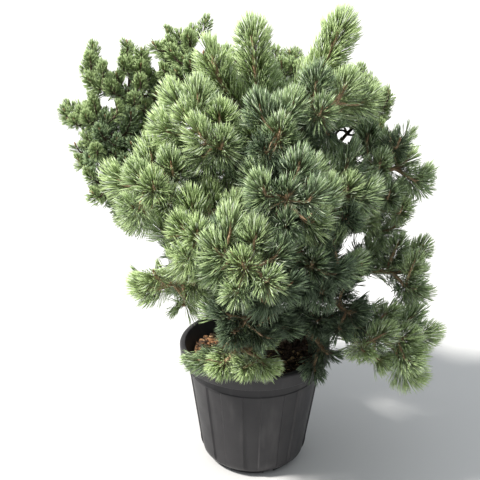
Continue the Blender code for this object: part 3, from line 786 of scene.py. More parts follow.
def bough_course(mass, steps=BOUGH_STEPS):
    """Centre points and radii of a bough that leaves the trunk rising and bends to its mass."""
    root, foot, way = course_of(mass)
    span = (foot - root).length
    out = foot - root
    out.z = 0.0
    leave = (out.normalized() + UP * BOUGH_RISE).normalized()
    bend = (root + leave * span * BOUGH_SWEEP, foot - way * span * BOUGH_SWEEP)
    neck = foot - way * BOUGH_END
    points = [bezier(root, *bend, neck, step / steps) for step in range(steps)]
    points += [neck, foot]
    _, trunk_radius = trunk_at(mass.fork)
    thick = min(BOUGH_TIP + BOUGH_TAPER * span, trunk_radius * BOUGH_SHARE)
    radii = [thick + (BOUGH_TIP - thick) * step / steps for step in range(steps + 1)]
    return points, radii + [BOUGH_TIP]


def all_limbs():
    """(start, end, radius) for each straight run of the trunk and the boughs."""
    course = list(trunk_points())
    for (low, low_radius), (high, high_radius) in zip(course, course[1:]):
        yield low, high, max(low_radius, high_radius)
    for mass in MASSES:
        if mass.limb == "bough":
            points, radii = bough_course(mass)
            for start, end, radius in zip(points, points[1:], radii):
                yield start, end, radius


def between_runs(a, b, c, d):
    """The least distance between the straight runs a to b and c to d."""
    first = b - a
    second = d - c
    apart = a - c
    aa = first.dot(first)
    bb = second.dot(second)
    ab = first.dot(second)
    ac = first.dot(apart)
    bc = second.dot(apart)
    base = aa * bb - ab * ab
    share = min(max((ab * bc - ac * bb) / base, 0.0), 1.0) if base > 1e-14 else 0.0
    other = (ab * share + bc) / bb
    if other < 0.0:
        other = 0.0
        share = min(max(-ac / aa, 0.0), 1.0)
    elif other > 1.0:
        other = 1.0
        share = min(max((ab - ac) / aa, 0.0), 1.0)
    return (apart + first * share - second * other).length


def in_sight(point, margin):
    """Whether a point lies in one of the small gaps."""
    return in_opening(point, margin, SIGHTS)


def in_opening(point, margin=0.0, openings=OPENINGS):
    """Whether a point lies in one of the open places, each a cone from the eye."""
    sight = point - EYE
    for right, height, radius in openings:
        line = Vector((right, 0.0, height)) - EYE
        along = sight.dot(line) / line.length_squared
        if (sight - line * along).length < radius * along + margin:
            return True
    return False


def over_pot(point):
    """Whether a point is clear of the pot and the soil."""
    flat = point.xy.length
    if flat < RIM_RADIUS - RIM_WIDTH - POT_MARGIN:
        return point.z > SOIL_LEVEL + POT_MARGIN
    return flat > RIM_RADIUS + POT_MARGIN or point.z > POT_HEIGHT + POT_MARGIN


class Space:
    """The room that a mass keeps to: its share of the crown, clear of the limbs and the pot."""

    def __init__(self, mass, limbs):
        self.walls = []
        centre = centre_of(mass)
        own = (mass.size + mass.needle) ** 2
        for other in MASSES:
            if other is mass:
                continue
            way = centre_of(other) - centre
            span = way.length
            share = (span**2 + own - (other.size + other.needle) ** 2) / (2.0 * span)
            self.walls.append((way / span, centre.dot(way / span) + share - SPACE_MARGIN))
        self.limbs = limbs

    def room(self, start, way):
        """How far a straight run from start can go before it meets a wall."""
        free = 1.0
        for normal, offset in self.walls:
            closing = normal.dot(way)
            if closing > 1e-6:
                free = min(free, (offset - normal.dot(start)) / closing)
        return free

    def holds(self, point, radius):
        return all(normal.dot(point) + radius < offset for normal, offset in self.walls)

    def clear(self, start, end, radius):
        for low, high, thick in self.limbs:
            if between_runs(start, end, low, high) < thick + radius + LIMB_MARGIN:
                return False
        return all(over_pot(start.lerp(end, share)) for share in (0.25, 0.5, 0.75, 1.0))

    def fits_tuft(self, centre, way):
        tail = centre - way * TUFT_CORE * TUFT_TAIL
        point = centre + way * TUFT_CORE * TUFT_POINT
        if in_opening(centre, TUFT_CORE) or in_opening(point):
            return False
        return self.holds(centre, TUFT_CORE) and self.holds(point, 0.0) and self.clear(tail, point, TUFT_CORE)


def side_way(way, turn, spread):
    """A direction that leaves the stem's way by the spread, at an angle round it."""
    across = way.cross(ASIDE).normalized()
    across.rotate(Matrix.Rotation(turn, 3, way))
    return (way * math.cos(spread) + across * math.sin(spread) + UP * LIFT).normalized()


def grow(mass, space):
    """The twigs as (start, end, radius) and the tufts as (centre, way) of one mass, by a seeded rule."""
    dice = random.Random(mass.seed)
    _, foot, way = course_of(mass)
    if mass.limb != "trunk":
        foot = foot + way * GAP
    length = (centre_of(mass) - foot).length + mass.size * STEM_PAST
    length = min(length, space.room(foot, way) - TUFT_CORE * TUFT_POINT)
    tops = [foot + way * length * share for share in SHORTER]
    top = next((end for end in tops if space.fits_tuft(end, way)), tops[0])
    twigs = [(foot, top, STEM_RADIUS)]
    beads = [top - way * BEAD_STEP * bead for bead in range(mass.beads)]
    tufts = [(centre, way) for centre in beads if space.holds(centre, TUFT_CORE)]
    stands = CROWN_SPREAD if mass.beads > 1 else 1.0
    turn = dice.uniform(0.0, math.tau)
    for place, spread, share, arms in WHORLS[:1] if mass.beads > 1 else WHORLS:
        start = foot.lerp(top, place)
        for _ in range(arms):
            turn += math.tau / arms + dice.uniform(-TURN_JITTER, TURN_JITTER)
            leaning = spread + dice.uniform(-SPREAD_JITTER, SPREAD_JITTER)
            out = side_way(way, turn, math.radians(leaning) * stands)
            reach = mass.size * share * dice.uniform(REACH_LEAST, REACH_MOST)
            end = twig_end(space, start, out, reach, tufts, TUFTS_APART)
            if end:
                twigs.append((start, end, TWIG_RADIUS))
                tufts.append((end, out))
        turn += math.pi / arms
    return twigs, tufts


def twig_end(space, start, out, reach, tufts, apart):
    """The farthest end, from the whole reach down, at which a twig and its tuft fit in the space."""
    for share in SHORTER:
        end = start + out * reach * share
        if reach * share < TWIG_LEAST or min((end - centre).length for centre, _ in tufts) < apart:
            continue
        if space.clear(start + out * 2.0 * STEM_RADIUS, end, TWIG_RADIUS) and space.fits_tuft(end, out):
            return end
    return None


# Finer growth, which the solids leave out

def rising(way, place):
    """The way a shoot's end points: its own, bent up and away from the crown's middle.

    Low down no shoot's end hangs.
    """
    away = place - CROWN_AXIS
    away.z = 0.0
    height = min(max((place.z - RISE_FROM) / RISE_OVER, 0.0), 1.0)
    outward = OUTWARD[0] + (OUTWARD[1] - OUTWARD[0]) * height
    upward = UPWARD[0] + (UPWARD[1] - UPWARD[0]) * height
    if way.z < 0.0:
        way = Vector((way.x, way.y, way.z * height))
    return (way + away.normalized() * outward + UP * upward).normalized()


def along_course(course, back):
    """The points of a course, and the ways to its tip, at distances back from the tip."""
    course = np.asarray(course)[::-1]
    run = np.concatenate([[0.0], np.cumsum(np.linalg.norm(np.diff(course, axis=0), axis=1))])
    ways = -unit(np.gradient(course, axis=0))
    points = np.stack([np.interp(back, run, course[:, axis]) for axis in range(3)], -1)
    return points, unit(np.stack([np.interp(back, run, ways[:, axis]) for axis in range(3)], -1))


def course_length(course):
    return float(np.linalg.norm(np.diff(np.asarray(course), axis=0), axis=1).sum())


def bent(start, end, leave, arrive, ahead=TIP_AHEAD, steps=6):
    """A shoot's course, from the way it leaves to the way its end points."""
    span = (end - start).length
    first = start + leave * span * 0.4
    second = end - arrive * span * 0.3
    path = [bezier(start, first, second, end, step / steps) for step in range(steps + 1)]
    path.append(end + arrive * ahead)
    return np.array([tuple(point) for point in path])


def habit_of(mass):
    if mass.name in FINE_MASSES:
        return FINE
    if mass.name in BRUSH_MASSES:
        return BRUSH
    return LEADER if mass.beads > 1 else USUAL


def clothed_limb(mass):
    """The needles on the end of a bough or of the trunk, as a shoot with no dome."""
    if mass.limb == "tip":
        course = np.array([tuple(point) for point, _ in trunk_points()])
        needle = mass.needle * LEADER.needle
        yield Shoot(course, BOUGH_TIP, TRUNK_CLOTHED, needle, 0, LEADER.along, LEADER, LIGHT, mass.seed, None)
    if mass.limb == "bough":
        course = np.array([tuple(point) for point in bough_course(mass, 12)[0]])
        share = LIMB_CLOTHED_MORE if mass.name in CLOTHED_LIMBS else LIMB_CLOTHED
        clothed = course_length(course) * share
        needle = mass.needle * habit_of(mass).needle * 0.85
        tint = min(MASS_TINT.get(mass.name, GREEN) + 1, DEEP)
        yield Shoot(course, BOUGH_TIP, clothed, needle, 0, LIMB_BUNDLES, habit_of(mass), tint, mass.seed, None)


class Growth:
    """The shoots of the whole crown, and the places that their tips take."""

    def __init__(self):
        self.limbs = list(all_limbs())
        self.spaces = {mass.name: Space(mass, self.limbs) for mass in MASSES}
        self.dice = {mass.name: random.Random(mass.seed + LOOK_SEED) for mass in MASSES}
        self.shoots = {mass.name: [] for mass in MASSES}
        self.firsts = {}
        self.taken = []
        for mass in MASSES:
            self.by_rule(mass)
        done = dict.fromkeys(self.shoots, 0)
        for level in range(FINE_LEVELS):
            for mass in MASSES:
                if mass.beads == 1 and (level == 0 or mass.name in FINE_MASSES):
                    grown = len(self.shoots[mass.name])
                    self.forks(mass, range(done[mass.name], grown))
                    done[mass.name] = grown
        for mass in MASSES:
            if mass.beads == 1:
                self.sides(mass)
        for mass in MASSES:
            if mass.beads == 1:
                self.fill(mass)
        for mass in MASSES:
            if mass.limb == "bough":
                self.along_limb(mass)
        self.paint_shade_on_covered()

    def paint_shade_on_covered(self):
        """Shoots inside the crown or in its shaded hollow get darker tints as painted shade, and those deep inside have
        fewer needles.
        """
        tips = np.array([tuple(tip) for tip in self.taken])
        for shoots in self.shoots.values():
            for number, shoot in enumerate(shoots):
                tip = shoot.course[-2]
                out = tip - np.array(CROWN_MIDDLE)
                out = out / np.linalg.norm(out)
                others = tips - tip
                ahead = others @ out
                aside = np.linalg.norm(others - ahead[:, None] * out, axis=1)
                # a tint darker for each level of cover by tips further out: painted shade
                cover = np.count_nonzero((ahead > COVER_AHEAD) & (aside < COVER_ASIDE))
                painted_shade = int(cover >= COVER_SOME) + int(cover >= COVER_MUCH)
                # two tints darker in the shaded hollow low in the crown's front: painted shade
                painted_shade += 2 * int((Vector(tip) - HOLLOW).length < HOLLOW_RADIUS)
                dome = int(shoot.dome * COVERED_SHARE) if cover >= COVER_MUCH else shoot.dome
                shoots[number] = shoot._replace(tint=min(shoot.tint + painted_shade, DEEP), dome=dome)

    def add(self, mass, course, radius, share, parent=None, painted_shade_step=0):
        """A shoot with its needles, fewer and shorter where the share is small."""
        dice = self.dice[mass.name]
        habit = habit_of(mass)
        # the extra step darkens the tint of inner side, fill and limb shoots as painted shade
        base = MASS_TINT.get(mass.name, GREEN) + painted_shade_step
        tint = min(max(base + dice.choice((-1, 0, 0, 1)), FRESH), DEEP)
        dome = int(habit.dome * share * dice.uniform(0.9, 1.1))
        needle = mass.needle * habit.needle * (0.72 + 0.28 * share)
        clothed = min(habit.clothed, course_length(course) * CLOTHED_MOST)
        seed = dice.randrange(1 << 30)
        made = Shoot(course, radius, clothed, needle, dome, habit.along * share, habit, tint, seed, parent)
        self.shoots[mass.name].append(made)
        self.taken.append(Vector(course[-2]))

    def by_rule(self, mass):
        """The twigs that the solids have, with their ends bent up."""
        for number, (start, end, radius) in enumerate(grow(mass, self.spaces[mass.name])[0]):
            way = (end - start).normalized()
            if mass.beads == 1:
                course = bent(start, end, (way + UP * BOW).normalized(), rising(way, end))
            elif number == 0:
                arrive = (way + UP * LEADER_RISE).normalized()
                course = bent(start, end + LEADER_SHIFT.get(mass.name, Vector()), way, arrive, LEADER_AHEAD)
            else:
                course = bent(start, start.lerp(end, LEADER_ARM), way, way)
            thick = radius * (FINE_TWIG if mass.name in FINE_MASSES else 1.0)
            self.add(mass, course, thick, 1.0, 0 if number else None)
        self.firsts[mass.name] = len(self.shoots[mass.name])

    def forks(self, mass, numbers):
        """Each shoot's end parts into a few more tips."""
        dice = self.dice[mass.name]
        for number in numbers:
            (root,), (way,) = along_course(self.shoots[mass.name][number].course, [FORK_BACK])
            root = Vector(root)
            way = rising(Vector(way), root)
            turn = dice.uniform(0.0, math.tau)
            for _ in range(FORK_ARMS):
                turn += math.tau / FORK_ARMS + dice.uniform(-TURN_JITTER, TURN_JITTER)
                leaning = math.radians(FORK_SPREAD + dice.uniform(-SPREAD_JITTER, SPREAD_JITTER))
                out = side_way(way, turn, leaning)
                end = root + out * habit_of(mass).fork * dice.uniform(REACH_LEAST, REACH_MOST)
                if self.fits(mass, root, end):
                    self.add(mass, bent(root, end, out, rising(out, end)), habit_of(mass).twig, 0.85, number)

    def is_free(self, mass, tip):
        """Whether a tip lies within its mass, away from the other tips and the open places."""
        habit = habit_of(mass)
        within = (tip - centre_of(mass)).length + habit.needle * mass.needle < mass.size + mass.needle
        if not within or any((tip - other).length < habit.apart for other in self.taken):
            return False
        if mass.name in RIM_MASSES and tip.z < LOWEST_TIP or in_sight(tip, TIP_MARGIN):
            return False
        return self.spaces[mass.name].holds(tip, habit.twig) and not in_opening(tip, TIP_MARGIN)

    def fits(self, mass, start, end):
        return self.is_free(mass, end) and self.spaces[mass.name].clear(start.lerp(end, 0.5), end, habit_of(mass).twig)

    def sides(self, mass):
        """Side shoots further back on the twigs, one tint darker as painted shade."""
        dice = self.dice[mass.name]
        for number in range(self.firsts[mass.name]):
            course = self.shoots[mass.name][number].course
            length = course_length(course)
            turn = dice.uniform(0.0, math.tau)
            for place in SIDE_PLACES:
                (root,), (way,) = along_course(course, [length * (1.0 - place)])
                root = Vector(root)
                for _ in range(SIDE_ARMS):
                    turn += GOLDEN
                    out = side_way(Vector(way), turn, math.radians(SIDE_SPREAD))
                    tip = root + out * habit_of(mass).side * dice.uniform(REACH_LEAST, REACH_MOST)
                    if self.fits(mass, root, tip):
                        course_out = bent(root, tip, out, rising(out, tip))
                        self.add(mass, course_out, habit_of(mass).twig, 0.65, number, 1)

    def fill(self, mass):
        """Shoots into the room that is still free, each from the shoot that suits it best."""
        dice = self.dice[mass.name]
        shoots = self.shoots[mass.name]
        centre = centre_of(mass)
        room = mass.size + mass.needle * (1.0 - habit_of(mass).needle)
        hosts = [(number, Vector(point)) for number, shoot in enumerate(shoots) for point in shoot.course[1:-2]]
        fine = mass.name in FINE_MASSES
        for _ in range(FILL_TRIES if fine else FILL_TRIES_USUAL):
            way = Vector([dice.gauss(0.0, 1.0) for _ in range(3)]).normalized()
            tip = centre + way * room * dice.random() ** (1.0 / 3.0)
            if not self.is_free(mass, tip):
                continue
            number, root = min(hosts, key=lambda host: (tip - host[1]).length - FILL_OUTWARD * (tip - host[1]).dot(way))
            out = tip - root
            if FILL_LEAST < out.length < FILL_REACH and self.fits(mass, root, tip):
                course = bent(root, tip, out.normalized(), rising(out.normalized(), tip))
                hosts += [(len(shoots), Vector(point)) for point in course[1:-2]]
                # fill shoots outside the fine masses get one step of painted shade
                self.add(mass, course, habit_of(mass).twig, 0.85, number, 0 if fine else 1)

    def along_limb(self, mass):
        """Short shoots on a bough before its mass."""
        dice = self.dice[mass.name]
        points, _ = bough_course(mass, 20)
        turn = dice.uniform(0.0, math.tau)
        for place in LIMB_PLACES:
            index = int(place * (len(points) - 3))
            root = points[index]
            way = (points[index + 1] - root).normalized()
            for _ in range(SIDE_ARMS):
                turn += GOLDEN
                out = side_way(way, turn, math.radians(SIDE_SPREAD))
                tip = root + out * LIMB_REACH * dice.uniform(REACH_LEAST, REACH_MOST)
                start = root.lerp(tip, 0.4)
                clear = all(between_runs(start, tip, low, high) > thick + TUFT_CORE
                            for low, high, thick in self.limbs)
                free = all((tip - other).length > habit_of(mass).apart for other in self.taken)
                if clear and free and over_pot(tip) and not in_opening(tip, TIP_MARGIN):
                    # shoots along a bough get one step of painted shade
                    self.add(mass, bent(root, tip, out, rising(out, tip)), habit_of(mass).twig, 0.65, None, 1)


# Needles

def needle_rows(shoot):
    """Roots, ways at the root and at the tip, lengths and tints of the needles of one shoot."""
    rng = np.random.default_rng(shoot.seed)
    habit = shoot.habit
    dome = (np.arange(shoot.dome) + 0.5) / max(shoot.dome, 1)
    before = max(shoot.clothed - habit.depth, 0.0)
    more = int(before * shoot.along)
    back = np.concatenate([habit.depth * dome**0.8, habit.depth + before * (np.arange(more) + 0.5) / max(more, 1)])
    wide = np.arccos(1.0 - dome * (1.0 - math.cos(math.radians(DOME_SPREAD))))
    spread = np.concatenate([wide, np.full(more, math.radians(SHOOT_SPREAD))])
    count = len(back)
    spread = spread * habit.opening + rng.normal(0.0, 0.09, count)
    turn = np.arange(count) * GOLDEN + rng.normal(0.0, 0.2, count)
    points, on = along_course(shoot.course, back)
    across = unit(np.cross(on, (0.31, 0.27, 0.91)))
    radial = across * np.cos(turn)[:, None] + np.cross(on, across) * np.sin(turn)[:, None]
    roots = points + radial * 0.0009
    ways = on * np.cos(spread)[:, None] + radial * np.sin(spread)[:, None]
    lengths = shoot.needle * rng.uniform(0.92, 1.04, count)
    roots, ways, on, lengths, back = (np.repeat(rows, BUNDLE, axis=0) for rows in (roots, ways, on, lengths, back))
    many = len(lengths)
    ways = unit(ways + rng.normal(0.0, BUNDLE_SPLAY, (many, 3)))
    lengths = lengths * rng.uniform(0.95, 1.0, many)
    ends = unit(ways + on * NEEDLE_FORWARD + rng.normal(0.0, 0.05, (many, 3)))
    # needles on the back part of a shoot are one tint darker: painted shade
    shaded = (back > shoot.clothed * 0.55).astype(int)
    tints = np.clip(shoot.tint + shaded + rng.choice((-1, 0, 0, 0, 1), many), FRESH, DEEP)
    if habit is FINE:
        return roots, ways, ends, lengths, np.where(tints < BLUE, MOSS, BLUE)
    pale = (rng.random(many) < PALE_SHARE) & (shoot.tint < DEEP)
    return roots, ways, ends, lengths, np.where(pale, PALE, tints)


def out_of_openings(points, ragged):
    """Which of an array of points lie outside the open places, whose edges are ragged."""
    sight = points - np.array(EYE)
    free = np.ones(len(points), bool)
    for right, height, radius in OPENINGS + SIGHTS:
        line = np.array((right, 0.0, height)) - np.array(EYE)
        along = sight @ line / line.dot(line)
        free &= np.linalg.norm(sight - along[:, None] * line, axis=1) > radius * along * (1.0 - ragged)
    return free


def clear_of_pot(points):
    flat = np.hypot(points[:, 0], points[:, 1])
    inside = flat < RIM_RADIUS - RIM_WIDTH - 0.001
    over = np.where(inside, points[:, 2] > SOIL_LEVEL + 0.001, points[:, 2] > POT_HEIGHT + 0.0005)
    return over | (flat > RIM_RADIUS + 0.0005)


def needle_points(roots, ways, ends, lengths, width, rng):
    """Five points a needle: its root, a ring of three near the end, and the tip."""
    side = unit(np.cross(ways, rng.normal(size=ways.shape)))
    other = np.cross(ways, side)
    bend = roots + ways * (lengths * NEEDLE_BEND_AT)[:, None]
    width = width * rng.uniform(0.85, 1.15, len(lengths))
    points = np.empty((len(lengths), 5, 3))
    points[:, 0] = roots
    for corner in range(3):
        turn = corner * math.tau / 3.0
        out = (side * math.cos(turn) + other * math.sin(turn)) * width[:, None]
        points[:, 1 + corner] = bend + out
    points[:, 4] = bend + ends * (lengths * (1.0 - NEEDLE_BEND_AT))[:, None]
    return points


NEEDLE_FACES = np.array(
    [(0, 1 + (i + 1) % 3, 1 + i) for i in range(3)]
    + [(1 + i, 1 + (i + 1) % 3, 4) for i in range(3)]
)


def grown_needles(shoot):
    """Points and tints of a shoot's needles that stay clear, and the share of them that do."""
    roots, ways, ends, lengths, tints = needle_rows(shoot)
    rng = np.random.default_rng(shoot.seed + 1)
    ragged = rng.random(len(lengths)) * shoot.habit.ragged
    bend = roots + ways * (lengths * NEEDLE_BEND_AT)[:, None]
    tips = bend + ends * (lengths * (1.0 - NEEDLE_BEND_AT))[:, None]
    middle = (roots + bend) / 2.0
    kept = np.ones(len(lengths), bool)
    for points in (tips, bend, middle) if shoot.dome else ():
        kept &= out_of_openings(points, ragged)
    share = kept.mean() if len(kept) else 0.0
    for points in (tips, bend, (bend + tips) / 2.0, middle):
        kept &= clear_of_pot(points)
    points = needle_points(roots[kept], ways[kept], ends[kept], lengths[kept], shoot.habit.width, rng)
    return points, tints[kept], share


def staying(shoots, shares):
    """Which shoots stay: those that keep enough of their needles, and those that bear one that stays."""
    stays = [share > NEEDLES_LEAST for share in shares]
    for number in reversed(range(len(shoots))):
        if stays[number] and shoots[number].parent is not None:
            stays[shoots[number].parent] = True
    return stays


def add_needles(heap, points, tints):
    starts = np.arange(len(points))[:, None, None] * points.shape[1]
    triangles = (NEEDLE_FACES[None] + starts).reshape(-1, 3)
    heap.add(points.reshape(-1, 3), triangles, np.repeat(tints, len(NEEDLE_FACES)))


# Wood

def bark_relief(scale, depth, ridges):
    """Long ridges and cracks round a limb, as shares of its radius."""
    def relief(path, turns):
        swell = np.empty((len(path), len(turns)))
        run = np.concatenate([[0.0], np.cumsum(np.linalg.norm(np.diff(path, axis=0), axis=1))])
        for row, along in enumerate(run):
            for column, turn in enumerate(turns):
                spot = Vector((math.cos(turn) * ridges, math.sin(turn) * ridges, along * scale))
                rough = noise.noise(spot)
                plates = noise.cell(Vector((turn * ridges, along * scale * 0.6, 3.0)))
                swell[row, column] = depth * (abs(rough) * 1.6 - 0.4 + 0.35 * plates)
        return swell
    return relief


def twig_relief(path, turns):
    """Leaf scars on young wood."""
    rows = np.arange(len(path))[:, None]
    columns = np.arange(len(turns))[None, :]
    return 0.14 * np.where((rows + columns) % 2 == 0, 1.0, -1.0)


def flared_relief(path, turns):
    swell = bark_relief(60.0, 0.10, 2.4)(path, turns)
    over = np.clip((path[:, 2] - FOOT.z) / FLARE_HEIGHT, 0.0, 1.0)
    lobes = FLARE_SWELL * (1.0 - over)[:, None] * np.cos(FLARE_LOBES * turns)[None, :]
    return swell + lobes


def make_wood(bark):
    heap = Heap()
    knots, radii = zip(*trunk_points())
    path, radii = smooth_course(knots, radii, 14)
    points, triangles = tube(path, radii, 30, flared_relief)
    points[:, 2] = np.maximum(points[:, 2], FOOT.z)
    heap.add(points, triangles)
    for mass in MASSES:
        if mass.limb == "bough":
            points, radii = bough_course(mass, 22)
            heap.add(*tube([tuple(point) for point in points], radii, 12, bark_relief(90.0, 0.12, 1.6)))
    made = heap.make("bark", [bark], smooth=True)
    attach(made, "root")
    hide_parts("trunk", *(f"bough_{mass.name}" for mass in MASSES if mass.limb == "bough"))


def make_twigs(shoots, young, old):
    heap = Heap()
    for shoot in shoots:
        radii = shoot.radius * np.linspace(*TWIG_SWELL, len(shoot.course))
        heap.add(*tube(shoot.course, radii, 6, twig_relief), int(shoot.habit is FINE))
    made = heap.make("twigs", [young, old], smooth=True)
    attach(made, "root")
    return made


def make_buds(shoots, material):
    """A small pointed bud at the end of each shoot."""
    heap = Heap()
    shares = np.array((0.0, 0.25, 0.6, 0.85, 1.0))
    widths = np.array((0.0010, 0.0017, 0.0015, 0.0008, 0.0002))
    for shoot in shoots:
        way = unit(shoot.course[-1] - shoot.course[-2])
        path = shoot.course[-1] + way * (shares * 0.0075 - 0.001)[:, None]
        heap.add(*tube(path, widths, 6))
    made = heap.make("buds", [material], smooth=True)
    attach(made, "root")
    return made


# Pot

def arc(centre, radius, start, end, steps):
    """Points (radius, height) round a centre, from one angle to another in degrees."""
    for step in range(steps + 1):
        turn = math.radians(start + (end - start) * step / steps)
        yield centre[0] + radius * math.cos(turn), centre[1] + radius * math.sin(turn)


def pot_section():
    """The pot's section, from the floor's middle up the inside, over the lip and down to the foot."""
    inner_top = RIM_RADIUS - RIM_WIDTH
    under_lip = POT_HEIGHT - RIM_DEPTH
    neck_low = under_lip - NECK_DEPTH
    soft = 0.0022
    lip = 0.0042
    yield 0.0, FLOOR
    yield 0.030, FLOOR
    yield FOOT_RADIUS - WALL, FLOOR
    yield BODY_LOW_RADIUS - WALL, CORNER_HEIGHT + FLOOR
    yield NECK_RADIUS - WALL - FLUTE_DEPTH, neck_low
    yield NECK_RADIUS - WALL, under_lip
    yield from arc((inner_top + soft, POT_HEIGHT - soft), soft, 180.0, 90.0, 4)
    yield from arc((RIM_RADIUS - lip, POT_HEIGHT - lip), lip, 90.0, 0.0, 6)
    yield RIM_RADIUS - 0.0006, POT_HEIGHT - 0.011
    yield from arc((RIM_RADIUS - 0.0030, under_lip + 0.0018), 0.0018, 0.0, -90.0, 4)
    yield from arc((NECK_RADIUS + soft, under_lip - soft), soft, 90.0, 180.0, 4)
    yield NECK_RADIUS, neck_low + 0.0012
    yield NECK_RADIUS + 0.0003, neck_low + 0.0004
    yield BODY_TOP_RADIUS - 0.0004, neck_low - 0.0004
    yield BODY_TOP_RADIUS, neck_low - 0.0012
    yield BODY_TOP_RADIUS - 0.0001, neck_low - 0.0022
    yield BODY_TOP_RADIUS - 0.0002, neck_low - 0.0034
    for step in range(1, 9):
        share = step / 9.0
        yield (BODY_TOP_RADIUS + (BODY_LOW_RADIUS - BODY_TOP_RADIUS) * share,
               neck_low - 0.003 + (CORNER_HEIGHT - neck_low + 0.003) * share)
    for step in range(13):
        bend = step / 12.0 * math.pi / 2.0
        inward = (BODY_LOW_RADIUS - FOOT_RADIUS) * (1.0 - math.cos(bend))
        rise = (CORNER_HEIGHT - FOOT_RISE) * (1.0 - math.sin(bend))
        yield BODY_LOW_RADIUS - inward, FOOT_RISE + rise
    yield FOOT_RADIUS - 0.0002, FOOT_RISE - 0.0008
    yield FOOT_RADIUS - 0.0004, 0.0006
    yield FOOT_RADIUS - 0.0010, 0.0
    yield 0.030, 0.0
    yield 0.0, 0.0


def flute_turns():
    """Angles round the pot, close together where a flute's edge steps in."""
    half = FLUTE_ANGLE / 2.0
    inside = [0.0, 2.2, 4.4, 5.8, half - FLUTE_EDGE - 0.2, half - FLUTE_EDGE, half - FLUTE_EDGE / 2.0]
    outside = [half, half + 0.2, half + 0.8, 11.0, 13.0, 15.5, 18.0]
    offsets = sorted({sign * value for value in inside + outside for sign in (-1.0, 1.0)} - {18.0})
    for panel in range(PANELS):
        for offset in offsets:
            yield PANEL_TURN + math.radians(panel * 360.0 / PANELS + offset), offset


def fluted(radius, height, offset):
    """The outer radius of the body, cut in to a flat within a flute."""
    top = POT_HEIGHT - RIM_DEPTH - NECK_DEPTH - 0.002
    if height > top or radius < 0.035:
        return radius
    slope = (BODY_TOP_RADIUS - BODY_LOW_RADIUS) / (top - CORNER_HEIGHT)
    floor = BODY_TOP_RADIUS - FLUTE_DEPTH - (top - height) * slope
    share = min(max((FLUTE_ANGLE / 2.0 - abs(offset)) / FLUTE_EDGE, 0.0), 1.0)
    return min(radius, radius + (floor - radius) * share)


def make_pot(material):
    section = list(pot_section())
    outer = section.index((RIM_RADIUS - 0.0006, POT_HEIGHT - 0.011))
    turns = list(flute_turns())
    rows = []
    for index, (radius, height) in enumerate(section[1:-1], 1):
        for turn, offset in turns:
            wide = fluted(radius, height, offset) if index > outer else radius
            rows.append((wide * math.cos(turn), wide * math.sin(turn), height))
    count = len(turns)
    points = np.array(rows + [(0.0, 0.0, FLOOR), (0.0, 0.0, 0.0)])
    ring = np.arange(count)
    after = (ring + 1) % count
    last = (len(section) - 3) * count
    top = np.full(count, len(rows))
    triangles = np.concatenate([
        grid_triangles(len(section) - 2, count)[:, ::-1],
        np.stack([top, ring, after], -1),
        np.stack([top + 1, last + after, last + ring], -1),
    ])
    pot = triangle_mesh("pot_shell", points, triangles, [material])
    cutters = []
    for notch in range(NOTCHES):
        turn = Matrix.Rotation(NOTCH_TURN + notch * math.tau / NOTCHES, 4, "Z")
        place = turn @ Matrix.Translation((FOOT_RADIUS + NOTCH_OUT, 0.0, 0.0))
        cutters.append(block(place, (2.0 * NOTCH_REACH, NOTCH_WIDTH, 2.0 * NOTCH_HEIGHT)))
    for cutter in cutters:
        cut = pot.modifiers.new("notch", "BOOLEAN")
        cut.operation = "DIFFERENCE"
        cut.object = cutter
    bpy.context.view_layer.update()
    graph = bpy.context.evaluated_depsgraph_get()
    mesh = bpy.data.meshes.new_from_object(pot.evaluated_get(graph))
    pot.modifiers.clear()
    pot.data = mesh
    for cutter in cutters:
        bpy.data.objects.remove(cutter)
    mesh.shade_smooth()
    mesh.set_sharp_from_angle(angle=math.radians(24.0))
    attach(pot, "root")
    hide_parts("pot")


def block(place, size):
    shape = bmesh.new()
    bmesh.ops.create_cube(shape, size=1.0)
    bmesh.ops.transform(shape, matrix=place @ Matrix.Diagonal((*size, 1.0)), verts=shape.verts)
    edges = [edge for edge in shape.edges]
    bmesh.ops.bevel(shape, geom=edges, offset=0.0012, segments=2, affect="EDGES")
    mesh = bpy.data.meshes.new("notch")
    shape.to_mesh(mesh)
    shape.free()
    made = bpy.data.objects.new("notch", mesh)
    bpy.context.scene.collection.objects.link(made)
    return made


# Soil

def soil_height(x, y):
    """The mulch's height: level round the trunk's foot, sinking to the edge, with lumps and one heap."""
    away = (Vector((x, y)) - FOOT.xy).length
    if away < SOIL_PAD:
        return SOIL_LEVEL
    fall = min((away - SOIL_PAD) / SOIL_SLOPE, 1.0)
    lump = SOIL_ROUGHNESS * noise.noise(Vector((x, y, 0.0)) * SOIL_LUMPS)
    near = max(1.0 - ((Vector((x, y)) - HEAP_AT).length / HEAP_RADIUS) ** 2, 0.0)
    return SOIL_LEVEL + (SOIL_EDGE - SOIL_LEVEL) * fall - abs(lump) + HEAP_HEIGHT * near


